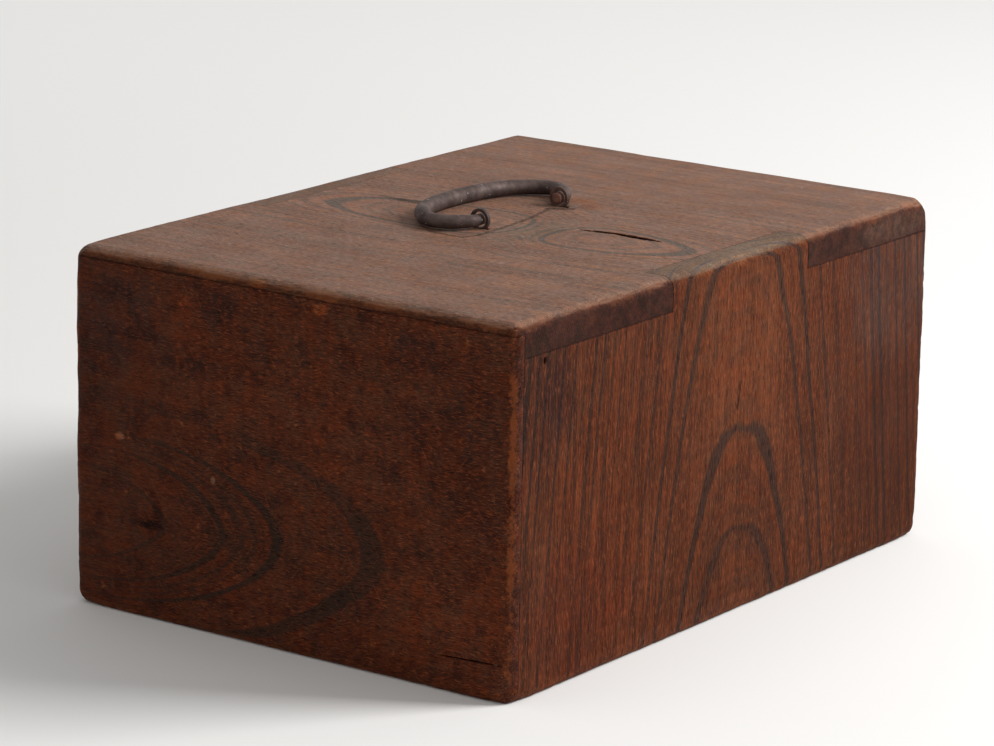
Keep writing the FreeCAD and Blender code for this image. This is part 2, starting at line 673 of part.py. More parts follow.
def build_drawers():
    """The three drawers with their pulls and the lock."""
    left_x = (STILE_LEFT - INNER_RIGHT) / 2
    right_x = (STILE_RIGHT + INNER_RIGHT) / 2
    upper_z = (UPPER_Z + INNER_TOP) / 2 + PULL_RISE
    lower_z = (BOTTOM_T + RAIL_Z) / 2 + PULL_RISE
    lower_cuts = pull_cuts(-LOWER_PULL_X, lower_z) + pull_cuts(LOWER_PULL_X, lower_z)
    lower_cuts.append(keyhole(DRAWER_FACE, DRAWER_INNER))
    lower_cuts += [nail_hole(x, z, DRAWER_FACE, DRAWER_INNER) for x, z in lock_nail_places()]
    openings = [
        ("upper_left", (-INNER_RIGHT, STILE_LEFT), (UPPER_Z, INNER_TOP), pull_cuts(left_x, upper_z)),
        ("upper_right", (STILE_RIGHT, INNER_RIGHT), (UPPER_Z, INNER_TOP), pull_cuts(right_x, upper_z)),
        ("lower", (-INNER_RIGHT, INNER_RIGHT), (BOTTOM_T, RAIL_Z), lower_cuts),
    ]
    pulls = [
        ("upper_left", left_x, upper_z),
        ("upper_right", right_x, upper_z),
        ("lower_left", -LOWER_PULL_X, lower_z),
        ("lower_right", LOWER_PULL_X, lower_z),
    ]
    nodes = {}
    for name, across, upright, front_cuts in openings:
        nodes.update(build_drawer(name, across, upright, front_cuts))
    for name, x, z in pulls:
        nodes.update(build_pull(name, x, z))
    nodes.update(build_lock())
    return nodes


def main():
    """Build every piece and write one STEP file for each node."""
    os.makedirs("parts", exist_ok=True)
    nodes = {}
    nodes.update(build_case())
    nodes.update(build_handle())
    nodes.update(build_drawers())
    for name, shape in nodes.items():
        shape.exportStep("parts/" + name + ".step")
        print(name, len(shape.Solids), round(shape.Volume, 1), shape.isValid())


main()
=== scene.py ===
"""Looks of a small ship's chest: worn keyaki case, forged bail, three drawers with iron pulls and a lock."""
import json
import logging
import math
from dataclasses import dataclass
from enum import Enum
from functools import lru_cache
from typing import Iterable, Sequence, Union

import bmesh
import bpy
from mathutils import Matrix, Vector, noise

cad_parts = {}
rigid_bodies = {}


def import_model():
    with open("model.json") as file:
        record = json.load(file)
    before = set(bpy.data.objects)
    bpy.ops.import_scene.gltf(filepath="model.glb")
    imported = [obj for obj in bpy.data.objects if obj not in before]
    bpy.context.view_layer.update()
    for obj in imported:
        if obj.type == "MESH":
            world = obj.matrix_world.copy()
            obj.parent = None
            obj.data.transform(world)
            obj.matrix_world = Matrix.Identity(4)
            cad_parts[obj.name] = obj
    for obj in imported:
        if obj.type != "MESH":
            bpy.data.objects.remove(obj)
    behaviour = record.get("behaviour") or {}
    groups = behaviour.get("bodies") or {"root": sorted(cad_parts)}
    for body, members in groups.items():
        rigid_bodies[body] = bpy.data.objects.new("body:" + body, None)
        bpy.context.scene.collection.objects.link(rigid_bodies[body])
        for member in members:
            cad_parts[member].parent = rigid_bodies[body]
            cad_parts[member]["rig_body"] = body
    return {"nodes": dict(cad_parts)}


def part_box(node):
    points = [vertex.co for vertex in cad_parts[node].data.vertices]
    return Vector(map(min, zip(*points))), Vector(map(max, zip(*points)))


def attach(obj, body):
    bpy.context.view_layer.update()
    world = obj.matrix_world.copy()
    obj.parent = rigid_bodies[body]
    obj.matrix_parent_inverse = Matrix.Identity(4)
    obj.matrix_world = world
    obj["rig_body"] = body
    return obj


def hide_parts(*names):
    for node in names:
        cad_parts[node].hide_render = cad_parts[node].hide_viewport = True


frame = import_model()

LOG = logging.getLogger("ship_chest")
MM = 0.001
SAME = 1e-5
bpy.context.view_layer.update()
Point = tuple[float, float, float]
Shades = tuple[float, float, float]
Colour = tuple[float, float, float, float]
Value = Union[float, Sequence[float], "Wire"]


def paint(*lights: float) -> Colour:
    """A colour as a painter names it, turned into the linear colour that a shader takes.

    Args:
        lights: the red, the green and the blue light, from 0 to 255.

    Returns:
        The linear colour with full alpha.
    """
    shares = [light / 255 for light in lights]
    return *(share / 12.92 if share <= 0.04045 else ((share + 0.055) / 1.055) ** 2.4 for share in shares), 1.0


def mm(*lengths: float) -> Vector:
    """A point given in millimetres, in metres."""
    return Vector(lengths) * MM


def kept(value: float) -> float:
    """A number kept from 0 to 1."""
    return min(1.0, max(0.0, value))


# ---- shader trees ----
class Wire:
    """An output of a node, which carries a number, a vector or a colour. Numbers can be reckoned with."""

    def __init__(self, tree: "Tree", socket: bpy.types.NodeSocket) -> None:
        """Keep the output and its tree."""
        self.tree, self.socket = tree, socket

    def __add__(self, other: Value) -> "Wire":
        """The sum."""
        return self.tree.math("ADD", self, other)

    def __sub__(self, other: Value) -> "Wire":
        """The difference."""
        return self.tree.math("SUBTRACT", self, other)

    def __rsub__(self, other: float) -> "Wire":
        """What it leaves of a plain number."""
        return self.tree.math("SUBTRACT", other, self)

    def __mul__(self, other: Value) -> "Wire":
        """The product."""
        return self.tree.math("MULTIPLY", self, other)

    def __truediv__(self, other: Value) -> "Wire":
        """The quotient."""
        return self.tree.math("DIVIDE", self, other)

    def __pow__(self, other: Value) -> "Wire":
        """The power."""
        return self.tree.math("POWER", self, other)

    def __abs__(self) -> "Wire":
        """The number without its sign."""
        return self.tree.math("ABSOLUTE", self)


class Tree:
    """Short names for the nodes of one shader tree."""

    def __init__(self, tree: bpy.types.NodeTree) -> None:
        """Keep the tree that the nodes go in."""
        self.tree = tree

    def feed(self, node: bpy.types.Node, values: dict) -> None:
        """Give a node its inputs.

        Args:
            node: the node.
            values: a value or a wire for each input, by name or number.
        """
        for key, value in values.items():
            if isinstance(value, Wire):
                self.tree.links.new(value.socket, node.inputs[key])
            else:
                node.inputs[key].default_value = value

    def add(self, kind: str, values: dict, **settings: object) -> list[Wire]:
        """Add a node.

        Args:
            kind: the node's type.
            values: a value or a wire for each input, by name or number.
            settings: the node's own options.

        Returns:
            Its outputs.
        """
        node = self.tree.nodes.new("ShaderNode" + kind)
        for key, setting in settings.items():
            setattr(node, key, setting)
        self.feed(node, values)
        return [Wire(self, output) for output in node.outputs]

    def named(self, kind: str, *names: str) -> list[Wire]:
        """The outputs of those names of a new node that takes nothing in."""
        node = self.tree.nodes.new("ShaderNode" + kind)
        return [Wire(self, node.outputs[name]) for name in names]

    def use(self, group: type["SharedGroup"], values: dict) -> dict[str, Wire]:
        """Place a shared group with its own values.

        Args:
            group: the group.
            values: a value or a wire for each input that isn't left as it is.

        Returns:
            Its outputs by name.
        """
        node = self.tree.nodes.new("ShaderNodeGroup")
        node.node_tree = group.made().tree
        self.feed(node, values)
        return {output.name: Wire(self, output) for output in node.outputs}

    def math(self, operation: str, *numbers: Value, clamp: bool = False) -> Wire:
        """Arithmetic on numbers; clamp keeps the answer from 0 to 1."""
        return self.add("Math", dict(enumerate(numbers)), operation=operation, use_clamp=clamp)[0]

    def vector(self, operation: str, first: Value, second: Value) -> Wire:
        """Arithmetic on two vectors."""
        return self.add("VectorMath", {0: first, 1: second}, operation=operation)[0]

    def dot(self, first: Value, second: Value) -> Wire:
        """How far one vector goes along another, times the other's length."""
        return self.add("VectorMath", {0: first, 1: second}, operation="DOT_PRODUCT")[1]

    def length(self, vector: Value) -> Wire:
        """The length of a vector."""
        return self.add("VectorMath", {0: vector}, operation="LENGTH")[1]

    def join(self, *numbers: Value) -> Wire:
        """A vector made of three numbers."""
        return self.add("CombineXYZ", dict(enumerate(numbers)))[0]

    def split(self, vector: Value) -> list[Wire]:
        """The three numbers of a vector."""
        return self.add("SeparateXYZ", {0: vector})

    def blend(self, share: Value, first: Value, second: Value, mode: str = "MIX") -> Wire:
        """From the first colour to the second as share runs from 0 to 1."""
        return self.add("Mix", {0: share, 6: first, 7: second}, data_type="RGBA", blend_type=mode)[2]

    def shade(self, share: Value, colour: Value, tint: Value) -> Wire:
        """A colour times a tint, as far as share says."""
        return self.blend(share, colour, tint if isinstance(tint, Wire) else (*tint, 1), "MULTIPLY")

    def between(self, share: Value, first: Value, second: Value) -> Wire:
        """From the first number to the second as share runs from 0 to 1."""
        return self.add("Mix", {0: share, 2: first, 3: second}, data_type="FLOAT")[0]

    def rise(self, value: Value, low: Value, high: Value) -> Wire:
        """0 below low, 1 above high and smooth between; low may be above high."""
        return self.add("MapRange", {0: value, 1: low, 2: high}, interpolation_type="SMOOTHSTEP")[0]

    def fade(self, value: Value, low: float, high: float) -> Wire:
        """The same, with low and high in millimetres."""
        return self.rise(value, low * MM, high * MM)

    def noise(self, place: Value, waves: float = 1.0, detail: float = 2.0, rough: float = 0.5) -> Wire:
        """Smooth noise from 0 to 1: its waves in each unit, the steps of finer ones and their strength."""
        values = {"Vector": place, "Scale": waves, "Detail": detail, "Roughness": rough}
        return self.add("TexNoise", values)[0]

    def ramp(self, value: Wire, stops: Sequence[tuple[float, Colour]]) -> Wire:
        """A colour ramp, black at both ends.

        Args:
            value: where it is read, from 0 to 1.
            stops: the place and the colour of each stop between the ends.

        Returns:
            The ramp's colour.
        """
        node = self.tree.nodes.new("ShaderNodeValToRGB")
        self.feed(node, {0: value})
        elements = node.color_ramp.elements
        elements[1].color = elements[0].color
        for place, colour in stops:
            elements.new(place).color = colour
        return Wire(self, node.outputs[0])

    def bump(self, height: Wire, strength: float, distance: float) -> Wire:
        """The way a bumpy face looks; distance in millimetres."""
        return self.add("Bump", {"Height": height, "Strength": strength, "Distance": distance * MM})[0]


class FinishTree(Tree):
    """The shader tree of a new material, with the point that it colours and the way the face there looks."""

    def __init__(self, name: str) -> None:
        """Make the material."""
        self.material = bpy.data.materials.new(name)
        self.material.use_nodes = True
        super().__init__(self.material.node_tree)
        self.shader = self.tree.nodes["Principled BSDF"]
        self.place, self.facing = self.named("TexCoord", "Object", "Normal")


class SharedGroup(Tree):
    """A node group that several finishes use, each with its own values."""

    INPUTS: dict[str, Value] = {}
    OUTPUTS: tuple[str, ...] = ()

    def __init__(self) -> None:
        """Make the group, its sockets and its nodes."""
        super().__init__(bpy.data.node_groups.new(type(self).__name__, "ShaderNodeTree"))
        for name, first in self.INPUTS.items():
            kind = "NodeSocketVector" if isinstance(first, tuple) else "NodeSocketFloat"
            self.tree.interface.new_socket(name, in_out="INPUT", socket_type=kind).default_value = first
        for name in self.OUTPUTS:
            self.tree.interface.new_socket(name, in_out="OUTPUT", socket_type="NodeSocketFloat")
        outputs = self.tree.nodes.new("NodeGroupInput").outputs
        self.given = [Wire(self, outputs[name]) for name in self.INPUTS]
        self.result = self.tree.nodes.new("NodeGroupOutput")
        self.work_out()

    @classmethod
    @lru_cache(maxsize=None)
    def made(cls) -> "SharedGroup":
        """The group itself, made once."""
        return cls()

    def work_out(self) -> None:
        """Make the nodes between the inputs and the outputs."""
        raise NotImplementedError

    def give(self, name: str, value: Wire) -> None:
        """Put out one number."""
        self.feed(self.result, {name: value})


GRAIN = {"across": 0.0, "along": 0.0, "through": 0.0}
ZERO, ONE = (0.0, 0.0, 0.0), (1.0, 1.0, 1.0)


class RingLevel(SharedGroup):
    """Which growth ring of the trunk a point of a board lies in, in metres from the ring at its middle."""

    INPUTS = GRAIN | {"crown": 0.02, "squareness": 2.0, "slope": 0.0, "taper": 0.0, "tilt": 0.0, "knee": 0.0,
                      "knee_width": 0.03, "saddle": 0.0, "saddle_width": 0.016, "wander": 0.004}
    OUTPUTS = ("Level",)

    def work_out(self) -> None:
        """Go round a crown that climbs along the board, bent at its knee and lifted at its saddle."""
        across, along, through, crown, power, slope, taper, tilt = self.given[:8]
        knee, knee_width, saddle, width, wander = self.given[8:]
        drift = (self.noise(self.join(across, along * 0.45, through), 28.0, 3.0) - 0.5) * wander
        side = abs(along * tilt + across + drift) ** power
        deep = abs(along * taper + crown + through) ** power
        bow = (side + deep) ** self.math("DIVIDE", 1.0, power)
        bend = self.math("SQRT", along * along + knee_width * knee_width) * knee
        ratio = along / width
        self.give("Level", bow + (along * (slope - taper) + bend) + saddle / (ratio * ratio + 1.0) + drift)


class Fibre(SharedGroup):
    """The wood between the rings: long streaks, open pores, pale flecks and clouds of colour.

    Each kind of mark has its width across the grain and its length along it, in metres.
    """

    INPUTS = GRAIN | {"pore_length": 0.0055, "waver": 0.0012}
    OUTPUTS = ("Streaks", "Pores", "Flecks", "Clouds", "Grit")
    BROAD_STREAK, FINE_STREAK = (0.0052, 0.17), (0.0015, 0.05)
    SWAY, CLOUD, GRIT = (0.009, 0.011), (0.035, 0.06), (0.00055, 0.0045)
    PORE_WIDTH = 0.0007

    def marks(self, side: Wire, width: Value, length: Value, detail: float, rough: float = 0.6) -> Wire:
        """Noise drawn out along the grain.

        Args:
            side: where it is read across the grain.
            width: the width of one mark.
            length: the length of one mark.
            detail: how many finer waves it has.
            rough: how strong they are.

        Returns:
            The noise, from 0 to 1.
        """
        along, through = self.given[1:3]
        return self.noise(self.join(side / width, along / length, through / width), 1.0, detail, rough)

    def work_out(self) -> None:
        """Make each kind of mark, the pores and flecks in fibres that sway."""
        across, _, _, length, waver = self.given
        fine, broad = (self.marks(across, *size, 3.0) for size in (self.FINE_STREAK, self.BROAD_STREAK))
        self.give("Streaks", self.rise(fine * 0.55 + broad * 0.45, 0.36, 0.64))
        wavy = (self.marks(across, *self.SWAY, 2.0, 0.5) - 0.5) * (waver * 2.0) + across
        self.give("Pores", self.rise(self.marks(wavy, self.PORE_WIDTH, length, 2.0), 0.5, 0.66))
        flecks = self.marks(wavy + 0.37, self.PORE_WIDTH, length * 0.8, 2.0)
        self.give("Flecks", self.rise(flecks, 0.52, 0.68))
        self.give("Clouds", self.rise(self.marks(across, *self.CLOUD, 4.0), 0.32, 0.68))
        self.give("Grit", self.rise(self.marks(wavy, *self.GRIT, 1.0), 0.3, 0.7))


class Grime(SharedGroup):
    """Old lacquer: dark blotches left by the wiping cloth, pale rubbed spots and hair scratches."""

    INPUTS = GRAIN
    OUTPUTS = ("Blotches", "Rubbed", "Cast", "Scratches")
    SPOTS = (("Blotches", ZERO, 62.0, 0.68, 0.46, 0.66), ("Rubbed", (0.7, 0.2, 0.4), 105.0, 0.7, 0.6, 0.72),
             ("Cast", (0.3, 0.9, 0.1), 75.0, 0.72, 0.36, 0.64))
    SLANTS = (0.9, 0.11), (-0.55, 0.37)
    SCRATCH_WIDTH, SCRATCH_LENGTH = 0.0007, 0.02

    def work_out(self) -> None:
        """Make the three kinds of spots and the scratches that slant two ways."""
        across, along, through = self.given
        place = self.join(across, along, through)
        for name, shift, waves, rough, low, high in self.SPOTS:
            spots = self.noise(self.vector("ADD", place, shift), waves, 5.0, rough)
            self.give(name, self.rise(spots, low, high))
        sides = []
        for slant, seed in self.SLANTS:
            lengthwise, sidewise = along * slant + across, across * -slant + along
            marks = self.join(lengthwise / self.SCRATCH_LENGTH, sidewise / self.SCRATCH_WIDTH, seed)
            sides.append(self.rise(self.noise(marks, 1.0, 1.0), 0.66, 0.74))
        self.give("Scratches", self.math("MAXIMUM", *sides))


class RingLines(SharedGroup):
    """The narrow dark lines of the rings away from the middle of a board."""

    INPUTS = {"Level": 0.0, "Spacing": 0.0095, "Width": 0.22, "Start": 0.1}
    OUTPUTS = ("Lines",)

    def work_out(self) -> None:
        """Draw a line of uneven strength at each turn of the level, from the start on."""
        level, spacing, width, start = self.given
        turns = level / spacing
        uneven = self.noise(self.join(turns * 0.9, 3.7, 1.3))
        place = self.math("FRACT", uneven * 1.4 + turns)
        line = self.rise(place, 1.0 - width, width * -0.5 + 1.0) * self.rise(place, 1.0, 0.94)
        strength = self.noise(self.join(self.math("FLOOR", turns), 9.1, 4.2), 0.73, 0.0)
        line = line * self.rise(strength, 0.15, 0.5)
        self.give("Lines", line * self.rise(level, start, start + 8 * MM))


class EdgeWear(SharedGroup):
    """The distance from a box's nearest edge in metres, and how far handling has rubbed the wood there,
    partly a painted highlight.
    """

    INPUTS = {"Place": ZERO, "Low": ZERO, "High": ZERO, "Reach": 0.004}
    OUTPUTS = ("Distance", "Mask")

    def work_out(self) -> None:
        """Take the middle one of the distances from the sides; the rubbing is broken up by the grain."""
        place, low, high, reach = self.given
        sides = self.vector("SUBTRACT", place, low), self.vector("SUBTRACT", high, place)
        x, y, z = self.split(self.vector("MINIMUM", *sides))
        larger = self.math("MINIMUM", self.math("MAXIMUM", x, y), z)
        distance = self.math("MAXIMUM", self.math("MINIMUM", x, y), larger)
        broken = self.noise(place, 520.0, 2.0, 0.6) * 0.45 + self.noise(place, 42.0, 3.0, 0.6) * 1.1 - 0.775
        self.give("Distance", distance)
        self.give("Mask", self.rise(broken * 2.4 + (1.0 - distance / reach), 0.15, 0.75))


class Halo(SharedGroup):
    """A soft-edged spot round a point or along a line, of its own size each way, with a broken outline."""

    INPUTS = {"Place": ZERO, "Centre": ZERO, "Run": ZERO, "Size": ONE, "Waves": ONE, "Broken": 0.5}
    OUTPUTS = ("Mask",)

    def work_out(self) -> None:
        """Measure how many of its sizes a point lies from the line."""
        place, centre, run, size, waves, broken = self.given
        offset = self.vector("SUBTRACT", place, centre)
        share = self.math("DIVIDE", self.dot(offset, run), self.dot(run, run), clamp=True)
        offset = self.vector("SUBTRACT", offset, self.vector("MULTIPLY", run, share))
        uneven = self.noise(self.vector("DIVIDE", place, waves), 3.1, 4.0, 0.6) - 0.5
        far = uneven * broken + self.length(self.vector("DIVIDE", offset, size))
        self.give("Mask", self.rise(far, 1.0, 0.35))


# ---- finishes ----
@dataclass(frozen=True)
class Tint:
    """A patch made lighter, darker or redder by age or as painted light and shade, round a point or along a
    run; in millimetres.
    """

    centre: Point
    size: Point
    colour: Shades
    strength: float = 1.0
    broken: float = 0.6
    run: Point = ZERO

    def mask(self, tree: FinishTree) -> Wire:
        """How much of the patch there is at each point, 0 to 1."""
        lengths = {"Centre": self.centre, "Run": self.run, "Size": self.size,
                   "Waves": (14, 14, 14) if any(self.run) else self.size}
        values = {name: mm(*length) for name, length in lengths.items()}
        return tree.use(Halo, values | {"Place": tree.place, "Broken": self.broken})["Mask"] * self.strength


def tinted(tree: FinishTree, colour: Wire, tints: Sequence[Tint]) -> Wire:
    """A colour with patches of tint over it.

    Args:
        tree: the finish's tree.
        colour: the colour.
        tints: the patches.

    Returns:
        The tinted colour.
    """
    for tint in tints:
        colour = tree.shade(tint.mask(tree), colour, tint.colour)
    return colour


def calmed(tree: FinishTree, value: Wire, patches: Sequence[Tint]) -> Wire:
    """A number made smaller inside some patches.

    Args:
        tree: the finish's tree.
        value: the number.
        patches: the patches.

    Returns:
        The smaller number.
    """
    for patch in patches:
        value = value * (1.0 - patch.mask(tree))
    return value


@dataclass(frozen=True)
class BoardSpace:
    """A board's own directions: across and along its grain and down through it from a point of its face."""

    across: Point
    along: Point
    through: Point
    origin: Point = ZERO

    def grain(self, tree: FinishTree) -> dict[str, Wire]:
        """Where each point lies across, along and through the board."""
        offset = tree.vector("SUBTRACT", tree.place, self.origin)
        return {name: tree.dot(offset, getattr(self, name)) for name in GRAIN}


@dataclass(frozen=True)
class Figure:
    """How the growth rings meet the face of a board; lengths in millimetres.

    A ring is its level, the width of its dark band and how dark the band is. BAND is how the darkness runs
    over the width: places in shares of it from its middle, with what there is of the darkness there.
    """

    BAND = (-0.5, 0.0), (-0.1, 1.0), (0.5, 0.0)
    rings: tuple[tuple[float, float, float], ...]
    crown: float
    lines_from: float
    line_spacing: float
    squareness: float = 2.0
    slope: float = 0.0
    taper: float = 0.0
    tilt: float = 0.0
    knee: float = 0.0
    knee_width: float = 30
    saddle: float = 0
    saddle_width: float = 16
    wander: float = 6
    line_width: float = 0.25
    line_strength: float = 0.7
    fine_spacing: float = 3.1
    fine_width: float = 0.6
    fine_strength: float = 0.3
    pinch: float = 0.0
    pinch_reach: tuple[float, float] = (30, 6)

    def lines(self, tree: FinishTree, level: Wire, *line: float) -> Wire:
        """The ring lines of one kind.

        Args:
            tree: the finish's tree.
            level: the ring level.
            line: the lines' spacing, width, first level and strength.

        Returns:
            How dark the lines are.
        """
        spacing, width, start, strength = line
        values = {"Level": level, "Spacing": spacing * MM, "Width": width, "Start": start * MM}
        return tree.use(RingLines, values)["Lines"] * strength

    def bands(self, tree: FinishTree, grain: dict[str, Wire]) -> Wire:
        """How dark the rings make each point, 0 to 1.

        Args:
            tree: the finish's tree.
            grain: where the point lies across, along and through the board.

        Returns:
            The darkness.
        """
        shape = {name: getattr(self, name) for name in ("squareness", "slope", "taper", "tilt", "knee")}
        shape |= {name: getattr(self, name) * MM for name in
                  ("crown", "knee_width", "saddle", "saddle_width", "wander")}
        level = tree.use(RingLevel, grain | shape)["Level"]
        coarse = self.line_spacing, self.line_width, self.lines_from, self.line_strength
        fine = self.fine_spacing, self.fine_width, 0.0, self.fine_strength
        lines = tree.math("MAXIMUM", self.lines(tree, level, *coarse), self.lines(tree, level, *fine))
        start = self.rings[0][0] - 2 * self.rings[0][1]
        span = self.rings[-1][0] + 2 * self.rings[-1][1] - start
        stops = [((ring + share * width - start) / span, (peak, strength, 0, 1))
                 for ring, width, strength in self.rings for share, peak in self.BAND]
        peak, strength, _ = tree.split(tree.ramp((level - start * MM) / (span * MM), stops))
        edge = tree.fade(abs(grain["across"]), *self.pinch_reach) * self.pinch
        return tree.math("MAXIMUM", tree.rise(peak, edge, edge + 0.4) * strength, lines)


@dataclass(frozen=True)
class Finish:
    """A finish of the chest, made into one material."""

    name: str

    def inputs(self, tree: FinishTree) -> dict[str, Value]:
        """A value or a wire for each input that the finish gives its shader."""
        raise NotImplementedError

    @lru_cache(maxsize=None)
    def material(self) -> bpy.types.Material:
        """The finish as a material, made once.

        Returns:
            The material.
        """
        tree = FinishTree(self.name)
        tree.feed(tree.shader, self.inputs(tree))
        return tree.material


@dataclass(frozen=True)
class Keyaki(Finish):
    """Keyaki under many coats of wiped lacquer: ring figure, streaks, pores, worn edges, old dirt and painted
    light.

    Low and high are the corners of what the wear goes round, in metres; other lengths are in millimetres.
    """

    space: BoardSpace
    figure: Figure
    low: Point
    high: Point
    light: Colour = paint(103, 51, 27)
    dark: Colour = paint(67, 31, 17)
    band: Colour = paint(55, 36, 29)
    pore: Colour = paint(34, 17, 12)
    fleck: Colour = paint(150, 84, 50)
    # the colour of rubbed spots and edges; on the rounded edges partly a painted highlight
    worn: Colour = paint(140, 80, 46)
    # pale coat of age over the faces that look up, partly a painted sheen
    film: Colour = paint(134, 104, 84)
    dust: Colour = paint(205, 190, 178)
    end_shade: Shades = (0.75, 0.8, 0.9)
    cloud: Shades = (0.56, 0.48, 0.46)
    blotch: Shades = (0.42, 0.44, 0.58)
    # painted shade that darkens cracks, slots and dents sunk below the board's face
    hollow: Shades = (0.16, 0.13, 0.13)
    # lightening of the faces that look up: real bleaching, partly a painted sheen
    bleached: Shades = ONE
    streaks: float = 0.45
    zone_streaks: float = 0.9
    pores: float = 0.65
    band_pores: float = 0.9
    flecks: float = 0.35
    clouds: float = 0.4
    grime: float = 0.25
    cast: float = 0.6
    bands: float = 0.8
    pore_length: float = 4.5
    waver: float = 1.0
    # reach and strength of the lighter rubbed edges, partly a painted highlight
    wear_reach: float = 4.0
    wear_strength: float = 0.7
    foot_wear: float = 0.3
    # how much pale coat covers the faces that look up, partly a painted sheen
    filmed: float = 0.0
    sheen: float = 0.07
    roughness: float = 0.5
    tints: tuple[Tint, ...] = ()
    streak_zone: tuple[float, float] = (0.0, 0.0)
    ring_spot: Tint | None = None
    calm_rings: tuple[Tint, ...] = ()
    calm_pores: tuple[Tint, ...] = ()
    grit: Shades = (0.12, 0.25, 0.34)
    foot: tuple[float, float] = (4, 12)
    # where the painted shade in hollows starts and stops, by depth and by distance from the edges
    hollow_from: tuple[float, float] = (0.35, 1.1)
    hollow_to: tuple[float, float] = (7, 6)
    hollow_inset: tuple[float, float] = (7, 9)

    def wood(self, tree: FinishTree, grain: dict[str, Wire], fibres: dict[str, Wire], streaks: Wire,
             band: Wire) -> Wire:
        """The colour of the wood under its wear.

        Args:
            tree: the finish's tree.
            grain: where the point lies across, along and through the board.
            fibres: the fibre group's outputs.
            streaks: the streaks as strong as they are here.
            band: how dark the rings make the point.

        Returns:
            The colour.
        """
        colour = tree.blend(streaks, self.dark, self.light)
        colour = tree.shade(fibres["Clouds"] * self.clouds, colour, self.cloud)
        old = tree.use(Grime, grain)
        colour = tree.blend(old["Rubbed"] * (0.9 * self.grime), colour, self.worn)
        colour = tree.shade(old["Blotches"] * self.grime, colour, self.blotch)
        warm, cool = ((*(1 + part * self.cast for part in parts), 1) for parts in
                      ((0.12, -0.08, -0.25), (-0.12, 0.08, 0.3)))
        colour = tree.shade(1.0, colour, tree.blend(old["Cast"], warm, cool))
        colour = tree.blend(band * self.bands, colour, self.band)
        colour = tinted(tree, colour, self.tints)
        flecks = fibres["Flecks"] * tree.between(band, self.flecks, 0.4 * self.flecks)
        colour = tree.blend(calmed(tree, flecks, self.calm_pores), colour, self.fleck)
        scratches = calmed(tree, old["Scratches"], self.calm_pores)
        colour = tree.blend(scratches * (0.42 * self.grime), colour, self.fleck)
        grit = [tree.between(fibres["Grit"], 1 - spread, 1 + spread) for spread in self.grit]
        return tree.shade(1.0, colour, tree.join(*grit))

    def surface(self, tree: FinishTree, depth: Wire, colour: Wire) -> Wire:
        """The wood's colour with end grain, rubbed edges, an age coat on top and painted light: edge
        highlight, hollow shade, sheen on top.

        Args:
            tree: the finish's tree.
            depth: how far the point lies below the board's outer face.
            colour: the wood's colour.

        Returns:
            The colour.
        """
        ends = tree.rise(abs(tree.dot(tree.facing, self.space.along)), 0.35, 0.95)
        height, top = tree.split(tree.place)[2], self.high[2]
        up = tree.rise(tree.split(tree.facing)[2], 0.5, 0.97) * tree.rise(height, top - 8 * MM, top - 5 * MM)
        shaded = ends * (up * -0.7 + 1.0)
        colour = tree.shade(shaded, colour, self.end_shade)
        mottle = tree.rise(tree.noise(tree.place, 130.0, 5.0, 0.7), 0.35, 0.65)
        colour = tree.shade(shaded, colour, tree.blend(mottle, (0.7, 0.66, 0.64, 1), (1.4, 1.36, 1.34, 1)))
        # lighter edges: rubbed wear, partly a painted highlight on their rounding
        edges = tree.use(EdgeWear, {"Place": tree.place, "Low": self.low, "High": self.high,
                                    "Reach": self.wear_reach * MM})
        rubbed = edges["Mask"] * tree.between(tree.fade(height, *self.foot), self.foot_wear, 1.0)
        rubbed = rubbed * (ends * (-0.5 * self.wear_strength) + self.wear_strength)
        if self.filmed:
            rubbed = rubbed * (up * -0.8 + 1.0)
        colour = tree.blend(rubbed, colour, self.worn)
        # painted shade: points sunk below the board's face, away from its edges, are darkened
        hollow = tree.fade(depth, *self.hollow_from) * tree.fade(depth, *self.hollow_to)
        hollow = hollow * tree.fade(edges["Distance"], *self.hollow_inset)
        colour = tree.shade(hollow, colour, self.hollow)
        # faces that look up are lightened by bleaching and a pale coat, both partly a painted sheen, then
        # given dust specks
        if self.filmed:
            colour = tree.shade(up, colour, self.bleached)
            colour = tree.blend(up * (hollow * -self.filmed + self.filmed), colour, self.film)
            specks = tree.rise(tree.noise(tree.place, 900.0, 0.0), 0.85, 0.88)
            colour = tree.blend(specks * up, colour, self.dust)
        return colour

    def inputs(self, tree: FinishTree) -> dict[str, Value]:
        """What the finish gives its shader.

        Args:
            tree: the finish's tree.

        Returns:
            A value or a wire for each input.
        """
        grain = self.space.grain(tree)
        band = self.figure.bands(tree, grain)
        if self.ring_spot:
            band = band * self.ring_spot.mask(tree)
        band = calmed(tree, band, self.calm_rings)
        fibres = tree.use(Fibre, grain | {"pore_length": self.pore_length * MM, "waver": self.waver * MM})
        pores = fibres["Pores"] * tree.between(band, self.pores, self.band_pores)
        pores = calmed(tree, pores, self.calm_pores)
        strength = self.streaks
        if any(self.streak_zone):
            zone = tree.fade(grain["across"], *self.streak_zone)
            strength = tree.between(zone, self.streaks, self.zone_streaks)
        streaks = tree.between(strength, 0.5, fibres["Streaks"])
        colour = tree.blend(pores, self.wood(tree, grain, fibres, streaks, band), self.pore)
        height = fibres["Flecks"] * (0.3 * self.flecks) + (pores * -0.7 + streaks * 0.3)
        return {"Base Color": self.surface(tree, grain["through"], colour),
                "Roughness": fibres["Clouds"] * 0.08 + (pores * 0.2 + self.roughness),
                "Specular IOR Level": self.sheen, "Normal": tree.bump(height, 0.6, 0.35)}


